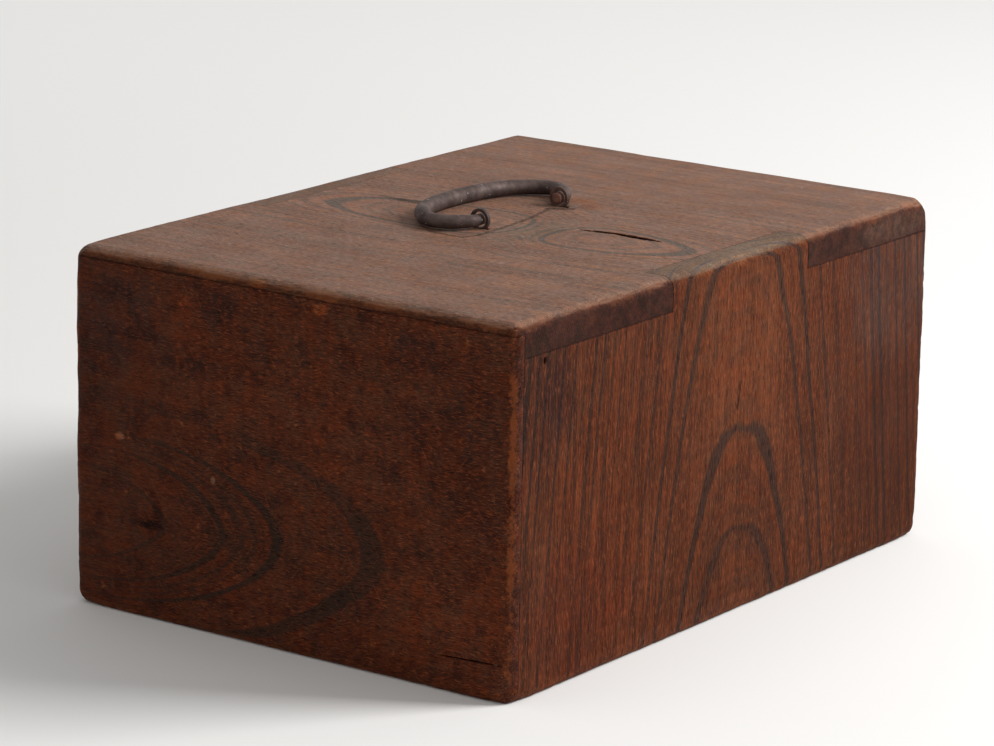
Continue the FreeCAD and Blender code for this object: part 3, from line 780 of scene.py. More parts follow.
@dataclass(frozen=True)
class PlainWood(Finish):
    """Unfinished inner wood: pale kiri or a peg's split hardwood, with soft straight grain."""

    light: Colour
    dark: Colour
    space: BoardSpace
    pore_shade: Shades = (0.35, 0.28, 0.22)
    cloud: Shades = (0.8, 0.72, 0.64)
    roughness: float = 0.68
    sheen: float = 0.25

    def inputs(self, tree: FinishTree) -> dict[str, Value]:
        """What the finish gives its shader.

        Args:
            tree: the finish's tree.

        Returns:
            A value or a wire for each input.
        """
        grain = self.space.grain(tree)
        fibres = tree.use(Fibre, grain | {"pore_length": 14 * MM})
        level = tree.use(RingLevel, grain | {"crown": 30 * MM, "slope": 0.12, "wander": 8 * MM})["Level"]
        rings = tree.use(RingLines, {"Level": level, "Spacing": 7 * MM, "Width": 0.5, "Start": 0.0})["Lines"]
        colour = tree.blend(fibres["Streaks"], self.dark, self.light)
        colour = tree.blend(rings * 0.45, colour, self.dark)
        colour = tree.shade(fibres["Pores"] * 0.35, colour, self.pore_shade)
        colour = tree.shade(fibres["Clouds"] * 0.4, colour, self.cloud)
        height = fibres["Pores"] * -0.5 + fibres["Streaks"] * 0.3
        return {"Base Color": colour, "Roughness": fibres["Pores"] * 0.15 + self.roughness,
                "Specular IOR Level": self.sheen, "Normal": tree.bump(height, 0.4, 0.25)}


@dataclass(frozen=True)
class ForgedIron(Finish):
    """Hand-forged iron, oiled dark, with rust in its hollows and bright flecks of rubbed metal, partly
    painted glints.
    """

    dark: Colour = paint(66, 52, 48)
    light: Colour = paint(94, 78, 73)
    rust: Colour = paint(104, 66, 48)
    # colour of the bright flecks: rubbed metal, partly painted glints
    bright: Colour = paint(190, 184, 178)
    rusting: float = 0.5
    roughness: float = 0.72
    tints: tuple[Tint, ...] = ()

    def inputs(self, tree: FinishTree) -> dict[str, Value]:
        """What the finish gives its shader.

        Args:
            tree: the finish's tree.

        Returns:
            A value or a wire for each input.
        """
        clouds = tree.rise(tree.noise(tree.place, 95.0, 4.0, 0.6), 0.35, 0.68)
        scale = tree.rise(tree.noise(tree.place, 260.0, 3.0, 0.65), 0.42, 0.62)
        rusty = tree.rise(tree.noise(tree.place, 150.0, 5.0, 0.7), 0.62, 0.74) * self.rusting
        flecks = tree.rise(tree.noise(tree.place, 520.0, 1.0), 0.72, 0.78)
        colour = tree.blend(rusty, tree.blend(clouds, self.dark, self.light), self.rust)
        # bright flecks: rubbed metal, partly painted glints
        colour = tree.blend(flecks * 0.7, tinted(tree, colour, self.tints), self.bright)
        height = tree.noise(tree.place, 900.0, 3.0, 0.6) * 0.35 + scale
        gloss = rusty * 0.4 + (clouds * -0.1 + self.roughness)
        return {"Base Color": colour, "Metallic": rusty * -0.5 + 0.55, "Roughness": gloss,
                "Normal": tree.bump(height, 0.4, 0.25)}


# ---- making pieces ----
class Slot(Enum):
    """The record's names for the finishes."""

    CASE = "keyaki_case"
    FRONT = "keyaki_front"
    KIRI = "kiri"
    PEG = "peg_wood"
    IRON = "iron"


def box_of(*nodes: str) -> tuple[Vector, Vector]:
    """The corners of the box round some plain solids, in metres."""
    lows, highs = zip(*map(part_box, nodes))
    return Vector([*map(min, *lows)]), Vector([*map(max, *highs)])


def shown(name: str, data: bpy.types.ID) -> bpy.types.Object:
    """Show something in the scene.

    Args:
        name: its name.
        data: its mesh, lamp or camera.

    Returns:
        The new object.
    """
    thing = bpy.data.objects.new(name, data)
    bpy.context.scene.collection.objects.link(thing)
    return thing


def solid(bm: bmesh.types.BMesh, name: str, material: bpy.types.Material) -> bpy.types.Object:
    """Show a worked mesh.

    Args:
        bm: the mesh; it is freed.
        name: the object's name.
        material: its finish.

    Returns:
        The new object.
    """
    mesh = bpy.data.meshes.new(name)
    bm.to_mesh(mesh)
    bm.free()
    mesh.materials.append(material)
    return shown(name, mesh)


def finished(bm: bmesh.types.BMesh, name: str, body: str, finish: Finish, replaced: str,
             crease: float = 35.0) -> None:
    """Turn a worked mesh into a piece of the chest.

    Args:
        bm: the mesh; it is freed.
        name: the piece's name.
        body: the body that it rides on.
        finish: the finish itself.
        replaced: the plain solid that it stands for.
        crease: the angle in degrees past which an edge shows.
    """
    piece = solid(bm, name, finish.material())
    piece.data.shade_smooth()
    piece.data.set_sharp_from_angle(angle=math.radians(crease))
    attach(piece, body)
    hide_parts(replaced)
    LOG.info("%s on %s: %d faces", name, body, len(piece.data.polygons))


def merged_copy(node: str) -> bmesh.types.BMesh:
    """A copy of a plain solid with its doubled points merged and its flat faces whole.

    Args:
        node: the solid's name.

    Returns:
        The new mesh.
    """
    bm = bmesh.new()
    bm.from_mesh(frame["nodes"][node].data)
    bmesh.ops.remove_doubles(bm, verts=bm.verts, dist=SAME)
    bmesh.ops.dissolve_limit(bm, angle_limit=math.radians(0.5), verts=bm.verts, edges=bm.edges)
    return bm


def turns(edge: bmesh.types.BMEdge, angle: float) -> bool:
    """Whether two faces meet at an edge and turn there by more than an angle in degrees."""
    return edge.is_manifold and edge.calc_face_angle() > math.radians(angle)


def bevel(bm: bmesh.types.BMesh, edges: list[bmesh.types.BMEdge], width: float, steps: int) -> None:
    """Take the sharpness off some edges, over a width in millimetres and in some steps."""
    bmesh.ops.bevel(bm, geom=edges, offset=width * MM, offset_type="OFFSET", segments=steps, profile=0.5,
                    affect="EDGES", clamp_overlap=True, material=-1)


def ease_edges(bm: bmesh.types.BMesh, width: float, shortest: float = 0.0, steps: int = 2) -> None:
    """Take the sharpness off the edges of a piece, apart from edges shorter than so many millimetres."""
    edges = [edge for edge in bm.edges if turns(edge, 40) and edge.calc_length() > shortest * MM]
    bevel(bm, edges, width, steps)


def cut(bm: bmesh.types.BMesh, parts: list, axis: int, place: float) -> None:
    """Cut some parts of a mesh across one direction, at a place in metres."""
    normal = Vector([float(n == axis) for n in range(3)])
    bmesh.ops.bisect_plane(bm, geom=parts, dist=SAME, plane_co=normal * place, plane_no=normal)


def cut_across(bm: bmesh.types.BMesh, axis: int, places: Iterable[float]) -> None:
    """Cut a whole mesh at several places, so that its flat faces can bend."""
    for place in places:
        cut(bm, [*bm.verts, *bm.edges, *bm.faces], axis, place)


def extent(bm: bmesh.types.BMesh, axis: int) -> tuple[float, float]:
    """The lowest and the highest place of a mesh along one direction."""
    return min(vert.co[axis] for vert in bm.verts), max(vert.co[axis] for vert in bm.verts)


def pull_out(bm: bmesh.types.BMesh, faces: list[bmesh.types.BMFace], way: Vector) -> None:
    """Move faces out of a mesh, with new faces round the way that they go."""
    moved = bmesh.ops.extrude_face_region(bm, geom=faces)["geom"]
    bmesh.ops.translate(bm, vec=way, verts=[part for part in moved if isinstance(part, bmesh.types.BMVert)])


def hammered(bm: bmesh.types.BMesh, depth: float, wave: float) -> None:
    """Leave the hammer's unevenness on forged iron.

    Args:
        bm: the mesh.
        depth: how far the surface moves, in millimetres.
        wave: the distance between blows, in millimetres.
    """
    bm.normal_update()
    for vert, normal in [(vert, vert.normal.copy()) for vert in bm.verts]:
        blow = noise.noise(vert.co / (wave * MM)) + 0.35 * noise.noise(vert.co / (0.27 * wave * MM))
        vert.co += normal * blow * depth * MM


def dressed_copy(node: str, finish: Finish, width: float, shortest: float = 0.0,
                 steps: int = 2) -> None:
    """Dress a plain solid's own shape.

    Args:
        node: the solid's name.
        finish: the finish itself.
        width: the width of its eased edges in millimetres, or 0.
        shortest: edges shorter than this many millimetres stay sharp.
        steps: the steps across an eased edge.
    """
    bm = merged_copy(node)
    if width:
        ease_edges(bm, width, shortest, steps)
    finished(bm, node + "_finished", frame["nodes"][node]["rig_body"], finish, node)


# ---- the case ----
@dataclass(frozen=True)
class Scar:
    """A crack, slot, hole or dent: a straight hollow in one face, cut finely; lengths in millimetres."""

    start: Point
    end: Point
    facing: Point
    half_width: float
    depth: float
    fine: float
    tapered: bool = True
    fall: float = 0.6

    def pushed(self, point: Vector) -> Vector:
        """Where a point of the worn surface goes.

        Args:
            point: the point, in metres.

        Returns:
            The point, pushed in where the hollow is.
        """
        normal, start = Vector(self.facing), mm(*self.start)
        run = mm(*self.end) - start
        share = kept((point - start).dot(run) / max(run.length_squared, SAME * SAME))
        offset = point - start - run * share
        height = offset.dot(normal)
        width = self.half_width * MM * (math.sin(math.pi * share) ** self.fall if self.tapered else 1.0)
        away = (offset - normal * height).length
        if abs(height) > max(2 * self.half_width, 6.0) * MM or away >= width:
            return point
        return point - normal * self.depth * MM * (1 - (away / width) ** 2) ** self.fall

    def refine(self, bm: bmesh.types.BMesh) -> None:
        """Cut the faces near the hollow finely enough to hold it, in longer steps along it than across it."""
        margin = self.half_width + 1.0
        for axis in [axis for axis in range(3) if not self.facing[axis]]:
            low = min(self.start[axis], self.end[axis]) - margin
            length = max(self.start[axis], self.end[axis]) + margin - low
            step = self.fine * (3.5 if length > 4 * margin else 1.0)
            for count in range(1 + round(length / step)):
                faces = [face for face in bm.faces if self.near(face)]
                parts = dict.fromkeys(part for face in faces for part in (*face.verts, *face.edges))
                cut(bm, [*parts, *faces], axis, (low + count * step) * MM)

    def near(self, face: bmesh.types.BMFace) -> bool:
        """Whether the hollow may lie in a face.

        Args:
            face: the face.

        Returns:
            Whether it looks the same way and lies in the box round the hollow.
        """
        way = Vector(self.facing)
        if face.normal.dot(way) < 0.9:
            return False
        low, high = mm(*map(min, self.start, self.end)), mm(*map(max, self.start, self.end))
        margin = (self.half_width + 5.0) * MM
        centre = face.calc_center_median()
        inside = all(low[n] - margin < centre[n] < high[n] + margin for n in range(3) if not self.facing[n])
        return inside and abs((centre - low).dot(way)) < 3 * MM


@dataclass
class Case:
    """The outer boards of the chest, all rubbed down to one worn envelope; sizes in millimetres."""

    low: Vector
    high: Vector
    scars: tuple[Scar, ...]
    soft_corners: tuple[tuple[Point, float], ...]
    board: float = 19.0
    back: float = 8.0
    lip: float = 6.0
    bottom: float = 15.0
    finger_rear: float = 147.0
    finger_front: float = 137.5
    round_upright: float = 7.0
    round_top: float = 7.5
    round_foot: float = 4.5
    top_reach: float = 14.0
    foot_reach: float = 12.0
    corner_reach: float = 30.0
    joint_ease: float = 0.28
    peg_depth: float = 0.4
    coarse: float = 9.0
    chips: int = 3
    edge_steps: tuple[float, ...] = (0.7, 1.5, 2.3, 3.2, 4.2, 5.4, 6.8, 8.4, 10.5, 14.0)

    def radius(self, point: Vector) -> float:
        """How far handling has rounded the case's edges near a point.

        Args:
            point: the point.

        Returns:
            The radius in metres.
        """
        upper = kept((point.z - self.high.z) / (self.top_reach * MM) + 1)
        lower = kept((self.low.z - point.z) / (self.foot_reach * MM) + 1)
        radius = self.round_upright + (self.round_top - self.round_upright) * upper
        radius += (self.round_foot - radius) * lower
        for corner, extra in self.soft_corners:
            radius += extra * kept(1 - (point - mm(*corner)).length / (self.corner_reach * MM)) ** 2
        uneven = 0.18 * noise.noise(point * 22) + (0.12 - 0.06 * upper) * noise.noise(point * 110)
        chips = (0.42 - 0.27 * upper) * max(0.0, noise.noise(point * 210) - 0.15)
        return radius * MM * (1 + uneven + chips)

    def worn(self, point: Vector) -> Vector:
        """Where a point of the square case lies on the worn one.

        Args:
            point: a point of the square case.

        Returns:
            The worn point.
        """
        radius = self.radius(point)
        core = Vector([min(max(point[n], self.low[n] + radius), self.high[n] - radius) for n in range(3)])
        over = point - core
        if over.length > SAME:
            point = core + over * (max(map(abs, over)) / over.length)
        for scar in self.scars:
            point = scar.pushed(point)
        return point

    def planes(self, axis: int, low: float, high: float) -> list[float]:
        """Where a board is cut into a grid: finely by the case's edges, coarsely elsewhere.

        Args:
            axis: the direction of the cuts.
            low: the board's lower end.
            high: its upper end.

        Returns:
            The places of the cuts, in metres.
        """
        steps = [step * MM for step in self.edge_steps]
        cuts = [self.low[axis] + step for step in steps] + [self.high[axis] - step for step in steps]
        start, end = self.low[axis] + steps[-1], self.high[axis] - steps[-1]
        count = round((end - start) / (self.coarse * MM))
        cuts += [start + (end - start) * n / count for n in range(1, count)]
        return [place for place in cuts if low + SAME < place < high - SAME]

    def on_planes(self, edge: bmesh.types.BMEdge, reach: float) -> int:
        """How many of the case's six sides an edge lies within reach of."""
        return sum(all(abs(vert.co[axis] - plane) < reach for vert in edge.verts)
                   for axis in range(3) for plane in (self.low[axis], self.high[axis]))

    def slab(self, outline: Iterable[Sequence[float]], thickness: Sequence[float]) -> bmesh.types.BMesh:
        """A square board.

        Args:
            outline: the corners of its outer face, in metres.
            thickness: the way from there to its other face, in millimetres.

        Returns:
            The board's mesh.
        """
        bm = bmesh.new()
        pull_out(bm, [bm.faces.new([bm.verts.new(corner) for corner in outline])], mm(*thickness))
        return bm

    def add_board(self, bm: bmesh.types.BMesh, name: str, wood: Finish) -> None:
        """Ease a board's joints, cut it into a grid, rub it down with the rest of the case and dress it.

        Args:
            bm: the square board.
            name: the board's name.
            wood: its finish.
        """
        bmesh.ops.recalc_face_normals(bm, faces=bm.faces)
        bevel(bm, [edge for edge in bm.edges if self.on_planes(edge, SAME) < 2 and turns(edge, 30)],
              self.joint_ease, 1)
        ends = [extent(bm, axis) for axis in range(3)]
        for axis in range(3):
            cut_across(bm, axis, self.planes(axis, *ends[axis]))
        for scar in self.scars:
            if all(ends[n][0] - MM < scar.start[n] * MM < ends[n][1] + MM for n in range(3)):
                scar.refine(bm)
        outer = [edge for edge in bm.edges if self.on_planes(edge, 5 * MM) >= 2
                 and edge.calc_length() > 0.6 * self.coarse * MM]
        bmesh.ops.subdivide_edges(bm, edges=outer, cuts=self.chips, use_grid_fill=True)
        for vert in bm.verts:
            vert.co = self.worn(vert.co)
        finished(bm, "case_" + name, "case", wood, name + "_board")

    def add_top(self) -> None:
        """The top board: two fingers at each side and a lip over the back board."""
        low, high = self.low, self.high
        inner, back_y, lip_z = high.x - self.board * MM, high.y - self.back * MM, high.z - self.lip * MM
        near, far = low.y + self.finger_front * MM, high.y - self.finger_rear * MM
        right = [(high.x, low.y), (high.x, near), (inner, near), (inner, far), (high.x, far),
                 (high.x, high.y)]
        outline = right + [(-x, y) for x, y in reversed(right)]
        bm = self.slab([(x, y, high.z) for x, y in outline], (0, 0, -self.lip))
        cut_across(bm, 1, [back_y])
        under = [face for face in bm.faces if all(abs(vert.co.z - lip_z) < SAME for vert in face.verts)
                 and face.calc_center_median().y < back_y]
        pull_out(bm, under, mm(0, 0, self.lip - self.board))
        bmesh.ops.delete(bm, geom=under, context="FACES")
        self.add_board(bm, "top", TOP_WOOD)

    def add_side(self, name: str, hand: int, wood: Finish) -> None:
        """A side board with its one finger.

        Args:
            name: the board's name.
            hand: -1 for the left and 1 for the right.
            wood: its finish.
        """
        low, high = self.low, self.high
        shoulder, rear = high.z - self.board * MM, high.y - self.back * MM
        near, far = low.y + self.finger_front * MM, high.y - self.finger_rear * MM
        outline = ((low.y, low.z), (rear, low.z), (rear, shoulder), (far, shoulder), (far, high.z),
                   (near, high.z), (near, shoulder), (low.y, shoulder))
        bm = self.slab([(hand * high.x, y, z) for y, z in outline], (-hand * self.board, 0, 0))
        self.add_board(bm, name, wood)

    def build(self) -> None:
        """Make the boards, the back one under the top's lip, and the pegs, cut off just inside its face."""
        low, high = self.low, self.high
        self.add_top()
        self.add_side("left_side", -1, LEFT_WOOD)
        self.add_side("right_side", 1, RIGHT_WOOD)
        upper = high.z - self.lip * MM
        back = ((low.x, low.z), (high.x, low.z), (high.x, upper), (low.x, upper))
        self.add_board(self.slab([(x, high.y, z) for x, z in back], (0, -self.back, 0)), "back", BACK_WOOD)
        inner, rear = high.x - self.board * MM, high.y - self.back * MM
        corners = ((-inner, low.y), (inner, low.y), (inner, rear), (-inner, rear))
        bottom = self.slab([(x, y, low.z) for x, y in corners], (0, 0, self.bottom))
        self.add_board(bottom, "bottom", BOTTOM_WOOD)
        pegs = merged_copy("back_pegs")
        for vert in pegs.verts:
            vert.co.y = min(vert.co.y, high.y - self.peg_depth * MM)
        finished(pegs, "case_back_pegs", "case", PEG_WOOD, "back_pegs")


@dataclass
class DrawerFrame:
    """The rail, stile, shelf and partition between the drawers; lengths in millimetres."""

    front_ease: float = 0.7
    inner_ease: float = 0.5

    def build(self) -> None:
        """Dress the front pieces in keyaki and the inner ones in kiri."""
        for node, wood in (("drawer_rail", RAIL_WOOD), ("partition_stile", STILE_WOOD)):
            dressed_copy(node, wood, self.front_ease, 10, 3)
        for node, wood in (("drawer_shelf", KIRI_ACROSS), ("partition_board", KIRI_LENGTHWISE)):
            dressed_copy(node, wood, self.inner_ease, 20)


@dataclass
class Drawer:
    """One drawer: a keyaki front on a pegged kiri box; lengths in millimetres."""

    name: str
    front_ease: float = 0.9
    inner_ease: float = 0.5
    figure_offset: tuple[float, float] = (-30.0, -20.0)

    def front_wood(self) -> Keyaki:
        """The front's own cut of keyaki.

        Returns:
            The finish, with its figure beside the front's middle.
        """
        low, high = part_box(self.name + "_front")
        middle = (low + high) / 2
        right, up = self.figure_offset
        origin = (middle.x + right * MM, low.y, middle.z + up * MM)
        space = BoardSpace(Z_WAY, X_WAY, Y_WAY, origin)
        return Keyaki("keyaki_" + self.name, space, FRONT_FIGURE, tuple(low), tuple(high), wear_reach=2.5,
                      foot_wear=1.0, worn=FRONT_WORN)

    def build(self) -> None:
        """Dress the front, the box and the pegs."""
        dressed_copy(self.name + "_front", self.front_wood(), self.front_ease, 30, 3)
        for part, wood in (("left_side", KIRI_LENGTHWISE), ("right_side", KIRI_LENGTHWISE),
                           ("back", KIRI_ACROSS), ("bottom", KIRI_LENGTHWISE)):
            dressed_copy(f"{self.name}_{part}", wood, self.inner_ease, 20)
        dressed_copy(self.name + "_pegs", PEG_WOOD, 0)


# ---- ironwork ----
@dataclass
class BailHandle:
    """The forged bail on the top and the two split staples that hold it; lengths in millimetres."""

    hammer_depth: float = 0.17
    hammer_wave: float = 11.0
    strap_ease: float = 0.4

    def build(self) -> None:
        """Hammer the bail, ease the staples' straps and dress them."""
        bail = merged_copy("bail_handle")
        hammered(bail, self.hammer_depth, self.hammer_wave)
        finished(bail, "bail_forged", "handle", BAIL_IRON, "bail_handle")
        for node in [name for name in frame["nodes"] if name.startswith("handle_staple")]:
            dressed_copy(node, BAIL_IRON, self.strap_ease)


@dataclass
class DropPull:
    """One drawer pull: a thin forged bail in two eye posts over round washers; lengths in millimetres."""

    name: str
    hammer_depth: float = 0.12
    hammer_wave: float = 6.0
    post_ease: float = 0.25
    washer_ease: float = 0.35

    def build(self) -> None:
        """Hammer the pull, ease its posts and washers and dress them."""
        pull = merged_copy(self.name)
        hammered(pull, self.hammer_depth, self.hammer_wave)
        body = frame["nodes"][self.name]["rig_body"]
        finished(pull, self.name + "_forged", body, FRONT_IRON, self.name)
        dressed_copy(self.name + "_posts", FRONT_IRON, self.post_ease)
        dressed_copy(self.name + "_rosettes", FRONT_IRON, self.washer_ease)


@dataclass
class DrawerLock:
    """The lock of the lower drawer: plate, case, bolt and nails; lengths in millimetres."""

    plate_grid: float = 2.5
    hammer_depth: float = 0.12
    hammer_wave: float = 8.0
    ease: float = 0.25

    def build(self) -> None:
        """Hammer the plate, ease the rest and dress them."""
        plate = merged_copy("lock_plate")
        ease_edges(plate, self.ease)
        for axis in (0, 2):
            low, high = extent(plate, axis)
            count = round((high - low) / (self.plate_grid * MM))
            cut_across(plate, axis, [low + (high - low) * n / count for n in range(1, count)])
        hammered(plate, self.hammer_depth, self.hammer_wave)
        finished(plate, "lock_plate_forged", "lower_drawer", FRONT_IRON, "lock_plate")
        for node in [name for name in frame["nodes"] if name.startswith("lock_") and name != "lock_plate"]:
            dressed_copy(node, FRONT_IRON, self.ease)


# ---- the camera and the room ----
def aimed(place: Point, aim: Point) -> Matrix:
    """The matrix of a camera or a lamp at a place, turned to an aim."""
    turn = (Vector(aim) - Vector(place)).normalized().to_track_quat("-Z", "Y")
    return Matrix.Translation(place) @ turn.to_matrix().to_4x4()


@dataclass(frozen=True)
class Viewpoint:
    """Where the chest is looked at from, in metres and degrees."""

    place: Point = (-1.416, 2.0005, 0.738)
    aim: Point = (-0.0087, 0.0278, 0.1232)
    roll: float = 1.07
    lens: float = 158.4
    sensor: float = 36.0
    clip: tuple[float, float] = (0.05, 60.0)

    def build(self) -> None:
        """Make the scene's camera."""
        data = bpy.data.cameras.new("camera")
        data.lens, data.sensor_width, data.sensor_fit = self.lens, self.sensor, "HORIZONTAL"
        data.clip_start, data.clip_end = self.clip
        camera = shown("camera", data)
        camera.matrix_world = aimed(self.place, self.aim) @ Matrix.Rotation(math.radians(self.roll), 4, "Z")
        bpy.context.scene.camera = camera


@dataclass(frozen=True)
class Studio:
    """A plain pale floor, one large soft lamp and an even room; the floor fades into the room's wall."""

    floor: Colour = paint(243, 242, 240)
    wall: Colour = paint(240, 239, 238)
    floor_size: float = 14.0
    lamp_place: Point = (-1.75, -1.25, 1.55)
    lamp_size: float = 1.1
    lamp_power: float = 74.0
    room_light: float = 0.55
    gloss_light: float = 0.8
    backdrop: tuple[float, float] = (0.5, 2.2)
    backdrop_lift: float = 0.17

    def add_floor(self) -> None:
        """Make the floor, lighter far away for the eye, a gloss or a glass that looks at it."""
        bm = bmesh.new()
        bmesh.ops.create_grid(bm, x_segments=2, y_segments=2, size=self.floor_size / 2)
        tree = FinishTree("pale_floor")
        far = tree.rise(tree.length(tree.place), *self.backdrop)
        eye, gloss, glass = tree.named("LightPath", "Is Camera Ray", "Is Glossy Ray", "Is Transmission Ray")
        seen = tree.math("MAXIMUM", eye, tree.math("MAXIMUM", gloss, glass))
        lift = tree.blend(far * seen, (0, 0, 0, 1), (*[self.backdrop_lift] * 3, 1))
        tree.feed(tree.shader, {"Base Color": self.floor, "Roughness": 0.85, "Specular IOR Level": 0.1,
                                "Emission Color": lift, "Emission Strength": 1.0})
        solid(bm, "floor", tree.material)

    def build(self) -> None:
        """Make the floor, the lamp and the room's light."""
        self.add_floor()
        lamp = bpy.data.lights.new("soft_lamp", "AREA")
        lamp.shape, lamp.size, lamp.energy = "SQUARE", self.lamp_size, self.lamp_power
        shown("soft_lamp", lamp).matrix_world = aimed(self.lamp_place, ZERO)
        world = bpy.data.worlds.new("room")
        bpy.context.scene.world = world
        world.use_nodes = True
        tree = Tree(world.node_tree)
        eye, gloss, glass = tree.named("LightPath", "Is Camera Ray", "Is Glossy Ray", "Is Transmission Ray")
        strength = tree.between(tree.math("MAXIMUM", eye, glass), self.room_light, 1.0)
        strength = tree.between(gloss, strength, self.gloss_light)
        tree.feed(world.node_tree.nodes["Background"], {"Color": self.wall, "Strength": strength})


# ---- this chest ----
CASE_BOX = box_of("top_board", "left_side_board", "right_side_board", "back_board")
LEFT, FRONT, FOOT = (round(place / MM, 3) for place in CASE_BOX[0])
RIGHT, REAR, TOP = (round(place / MM, 3) for place in CASE_BOX[1])
X_WAY, Y_WAY, Z_WAY = (1, 0, 0), (0, 1, 0), (0, 0, 1)
CASE_SCARS = (
    Scar((-44.3, -2.0, TOP), (-70.0, -8.0, TOP), Z_WAY, 2.0, 3.2, 0.5),
    Scar((-60.0, -6.6, TOP), (-95.6, -5.4, TOP), Z_WAY, 2.6, 3.6, 0.55),
    Scar((-2.5, -47.5, TOP), (8.0, -47.5, TOP), Z_WAY, 1.7, 2.5, 0.6, tapered=False),
    Scar((-1.5, 31.0, TOP), (7.0, 31.0, TOP), Z_WAY, 1.6, 2.5, 0.6, tapered=False),
    Scar((LEFT, 184.6, 184.5), (LEFT, 184.9, 182.9), (-1, 0, 0), 1.3, 1.6, 0.5, tapered=False),
    Scar((-105.0, REAR, 20.2), (-146.0, REAR, 22.0), Y_WAY, 0.5, 1.2, 0.4),
)
SOFT_CORNERS = (((LEFT, FRONT, TOP), 5.0), ((LEFT, REAR, FOOT), 4.0), ((RIGHT, REAR, FOOT), 5.0),
                ((LEFT, FRONT, FOOT), 4.0), ((RIGHT, FRONT, FOOT), 4.0), ((RIGHT, REAR, TOP), 2.0))
LEFT_FIGURE = Figure(
    ((102.3, 0.9, 0.35), (104.9, 1.7, 0.9), (107, 0.8, 0.3), (110.7, 2.2, 1.0), (122.3, 2.0, 0.9),
     (129.5, 2.3, 1.0), (139.2, 2.0, 0.8)),
    crown=100, lines_from=141, line_spacing=7.4, squareness=2.4, slope=0.097, wander=2.2, pinch=0.6,
    line_width=0.5, line_strength=1.0, fine_spacing=2.2)
TOP_FIGURE = Figure(
    ((101.8, 0.4, 0.5), (104.0, 1.0, 1.0), (105.3, 0.35, 0.6), (107.2, 0.6, 0.6), (110.5, 1.2, 0.6),
     (115, 1.5, 0.6), (121, 2.0, 0.6)),
    crown=80, lines_from=126, line_spacing=8, squareness=2.37, slope=-0.013, tilt=-0.053, knee=0.127,
    knee_width=150, saddle=7, wander=1.5, line_width=0.4, line_strength=0.55, fine_spacing=1.6,
    fine_strength=0.5)
BACK_FIGURE = Figure(
    ((458.1, 0.55, 0.7), (462.2, 0.75, 0.9), (463.5, 0.45, 0.7), (464.4, 0.35, 0.6), (465.7, 0.75, 1.0),
     (471.6, 1.9, 1.0), (473.3, 0.35, 0.5)),
    crown=466, lines_from=478, line_spacing=3, squareness=1.706, slope=0.0915, taper=2.378, tilt=-0.052,
    wander=1.5, line_strength=0.35, fine_spacing=0.42, fine_strength=0.35)
FRONT_FIGURE = Figure(
    ((26, 3, 0.5), (34, 4, 0.9), (40, 2.5, 0.5), (50, 3.5, 0.8), (58, 3, 0.5), (68, 3, 0.6)),
    crown=22, lines_from=75, line_spacing=8, slope=0.12, wander=8, line_strength=0.5)
FRONT_WORN = paint(126, 72, 42)
LEFT_TINTS = (
    Tint((LEFT, -10, 165), (30, 85, 100), (1.32, 1.42, 1.45)),
    Tint((LEFT, -175, 170), (30, 75, 75), (0.97, 1.3, 1.9)),
    Tint((LEFT, -175, 80), (30, 75, 80), (0.94, 0.92, 0.96)),
    Tint((LEFT, 206, 160), (30, 7, 50), (0.6, 0.78, 1.0), 0.9),
    Tint((LEFT, 70, 4), (30, 150, 9), (1.2, 1.35, 1.7), 0.8, 1.4),
    Tint((LEFT, -170, 50), (30, 75, 100), (0.78, 0.74, 0.68)),
    Tint((LEFT, 190, 165), (30, 40, 70), (0.72, 0.74, 0.85)),
    Tint((LEFT, 125, 80), (30, 60, 110), (1.14, 1.0, 0.84)),
    Tint((LEFT, 172, 160), (30, 22, 26), (0.7, 0.74, 0.95), 0.9, 1.6),
    Tint((LEFT, 150, 40), (30, 70, 60), (0.92, 0.85, 0.95)),
    Tint((LEFT, -6.5, 134.4), (30, 1.8, 1.8), (0.3, 0.28, 0.3), 1.0, 0.5, (0, 2.5, -14)),
)
BACK_TINTS = (
    Tint((115, REAR, 170), (45, 30, 35), (0.76, 0.87, 1.12)),
    Tint((15, REAR, 26), (80, 30, 32), (1.28, 1.18, 1.12)),
    Tint((0, REAR, 110), (95, 30, 60), (1.15, 1.12, 1.1)),
    Tint((48, REAR, 186), (20, 30, 20), (0.6, 0.66, 0.86), 0.9),
    Tint((-87, REAR, 184), (22, 30, 16), (0.62, 0.66, 0.86), 0.9),
    Tint((-124, REAR, 128), (40, 30, 80), (0.74, 0.74, 0.8), 0.8),
    Tint((140, REAR, 150), (30, 30, 60), (0.75, 0.85, 1.0), 0.8),
    Tint((-95, REAR, 40), (60, 30, 40), (1.25, 1.2, 1.1)),
    Tint((95, REAR, 55), (13, 20, 3.6), (0.16, 0.17, 0.22), 1.0, 0.8),
    Tint((90, REAR, 63), (5, 20, 10), (0.5, 0.5, 0.55), 1.0, 0.8),
    Tint((116.9, REAR, 102.5), (4.6, 20, 2.8), (4.0, 4.5, 4.0), 1.0, 0.8),
    Tint((50.1, REAR, 88.8), (2.2, 20, 3.2), (3.5, 4.5, 4.5), 1.0, 0.8),
    Tint((-23.3, REAR, 196.3), (7, 20, 4), (3.2, 3.0, 2.0), 1.0, 1.2),
)
SEAMS = tuple(
    Tint(start, size, (0.4, 0.38, 0.42), 0.7, 1.6, run) for start, size, run in (
        ((LEFT, 64.5, 188), (8, 0.9, 0.9), (0, 147, 0)), ((LEFT, -74, 188), (8, 0.9, 0.9), (0, -137.5, 0)),
        ((LEFT, 64.5, 188), (8, 0.9, 0.9), (0, 0, 19)), ((LEFT, -74, 188), (8, 0.9, 0.9), (0, 0, 19)),
        ((LEFT, REAR, 201), (0.9, 8, 0.9), (303, 0, 0))))
SHAKE = ((19, 57), (-4, 58), (-8, 46), (-7, 24), (-5, 0), (-3, -12), (3, -38))
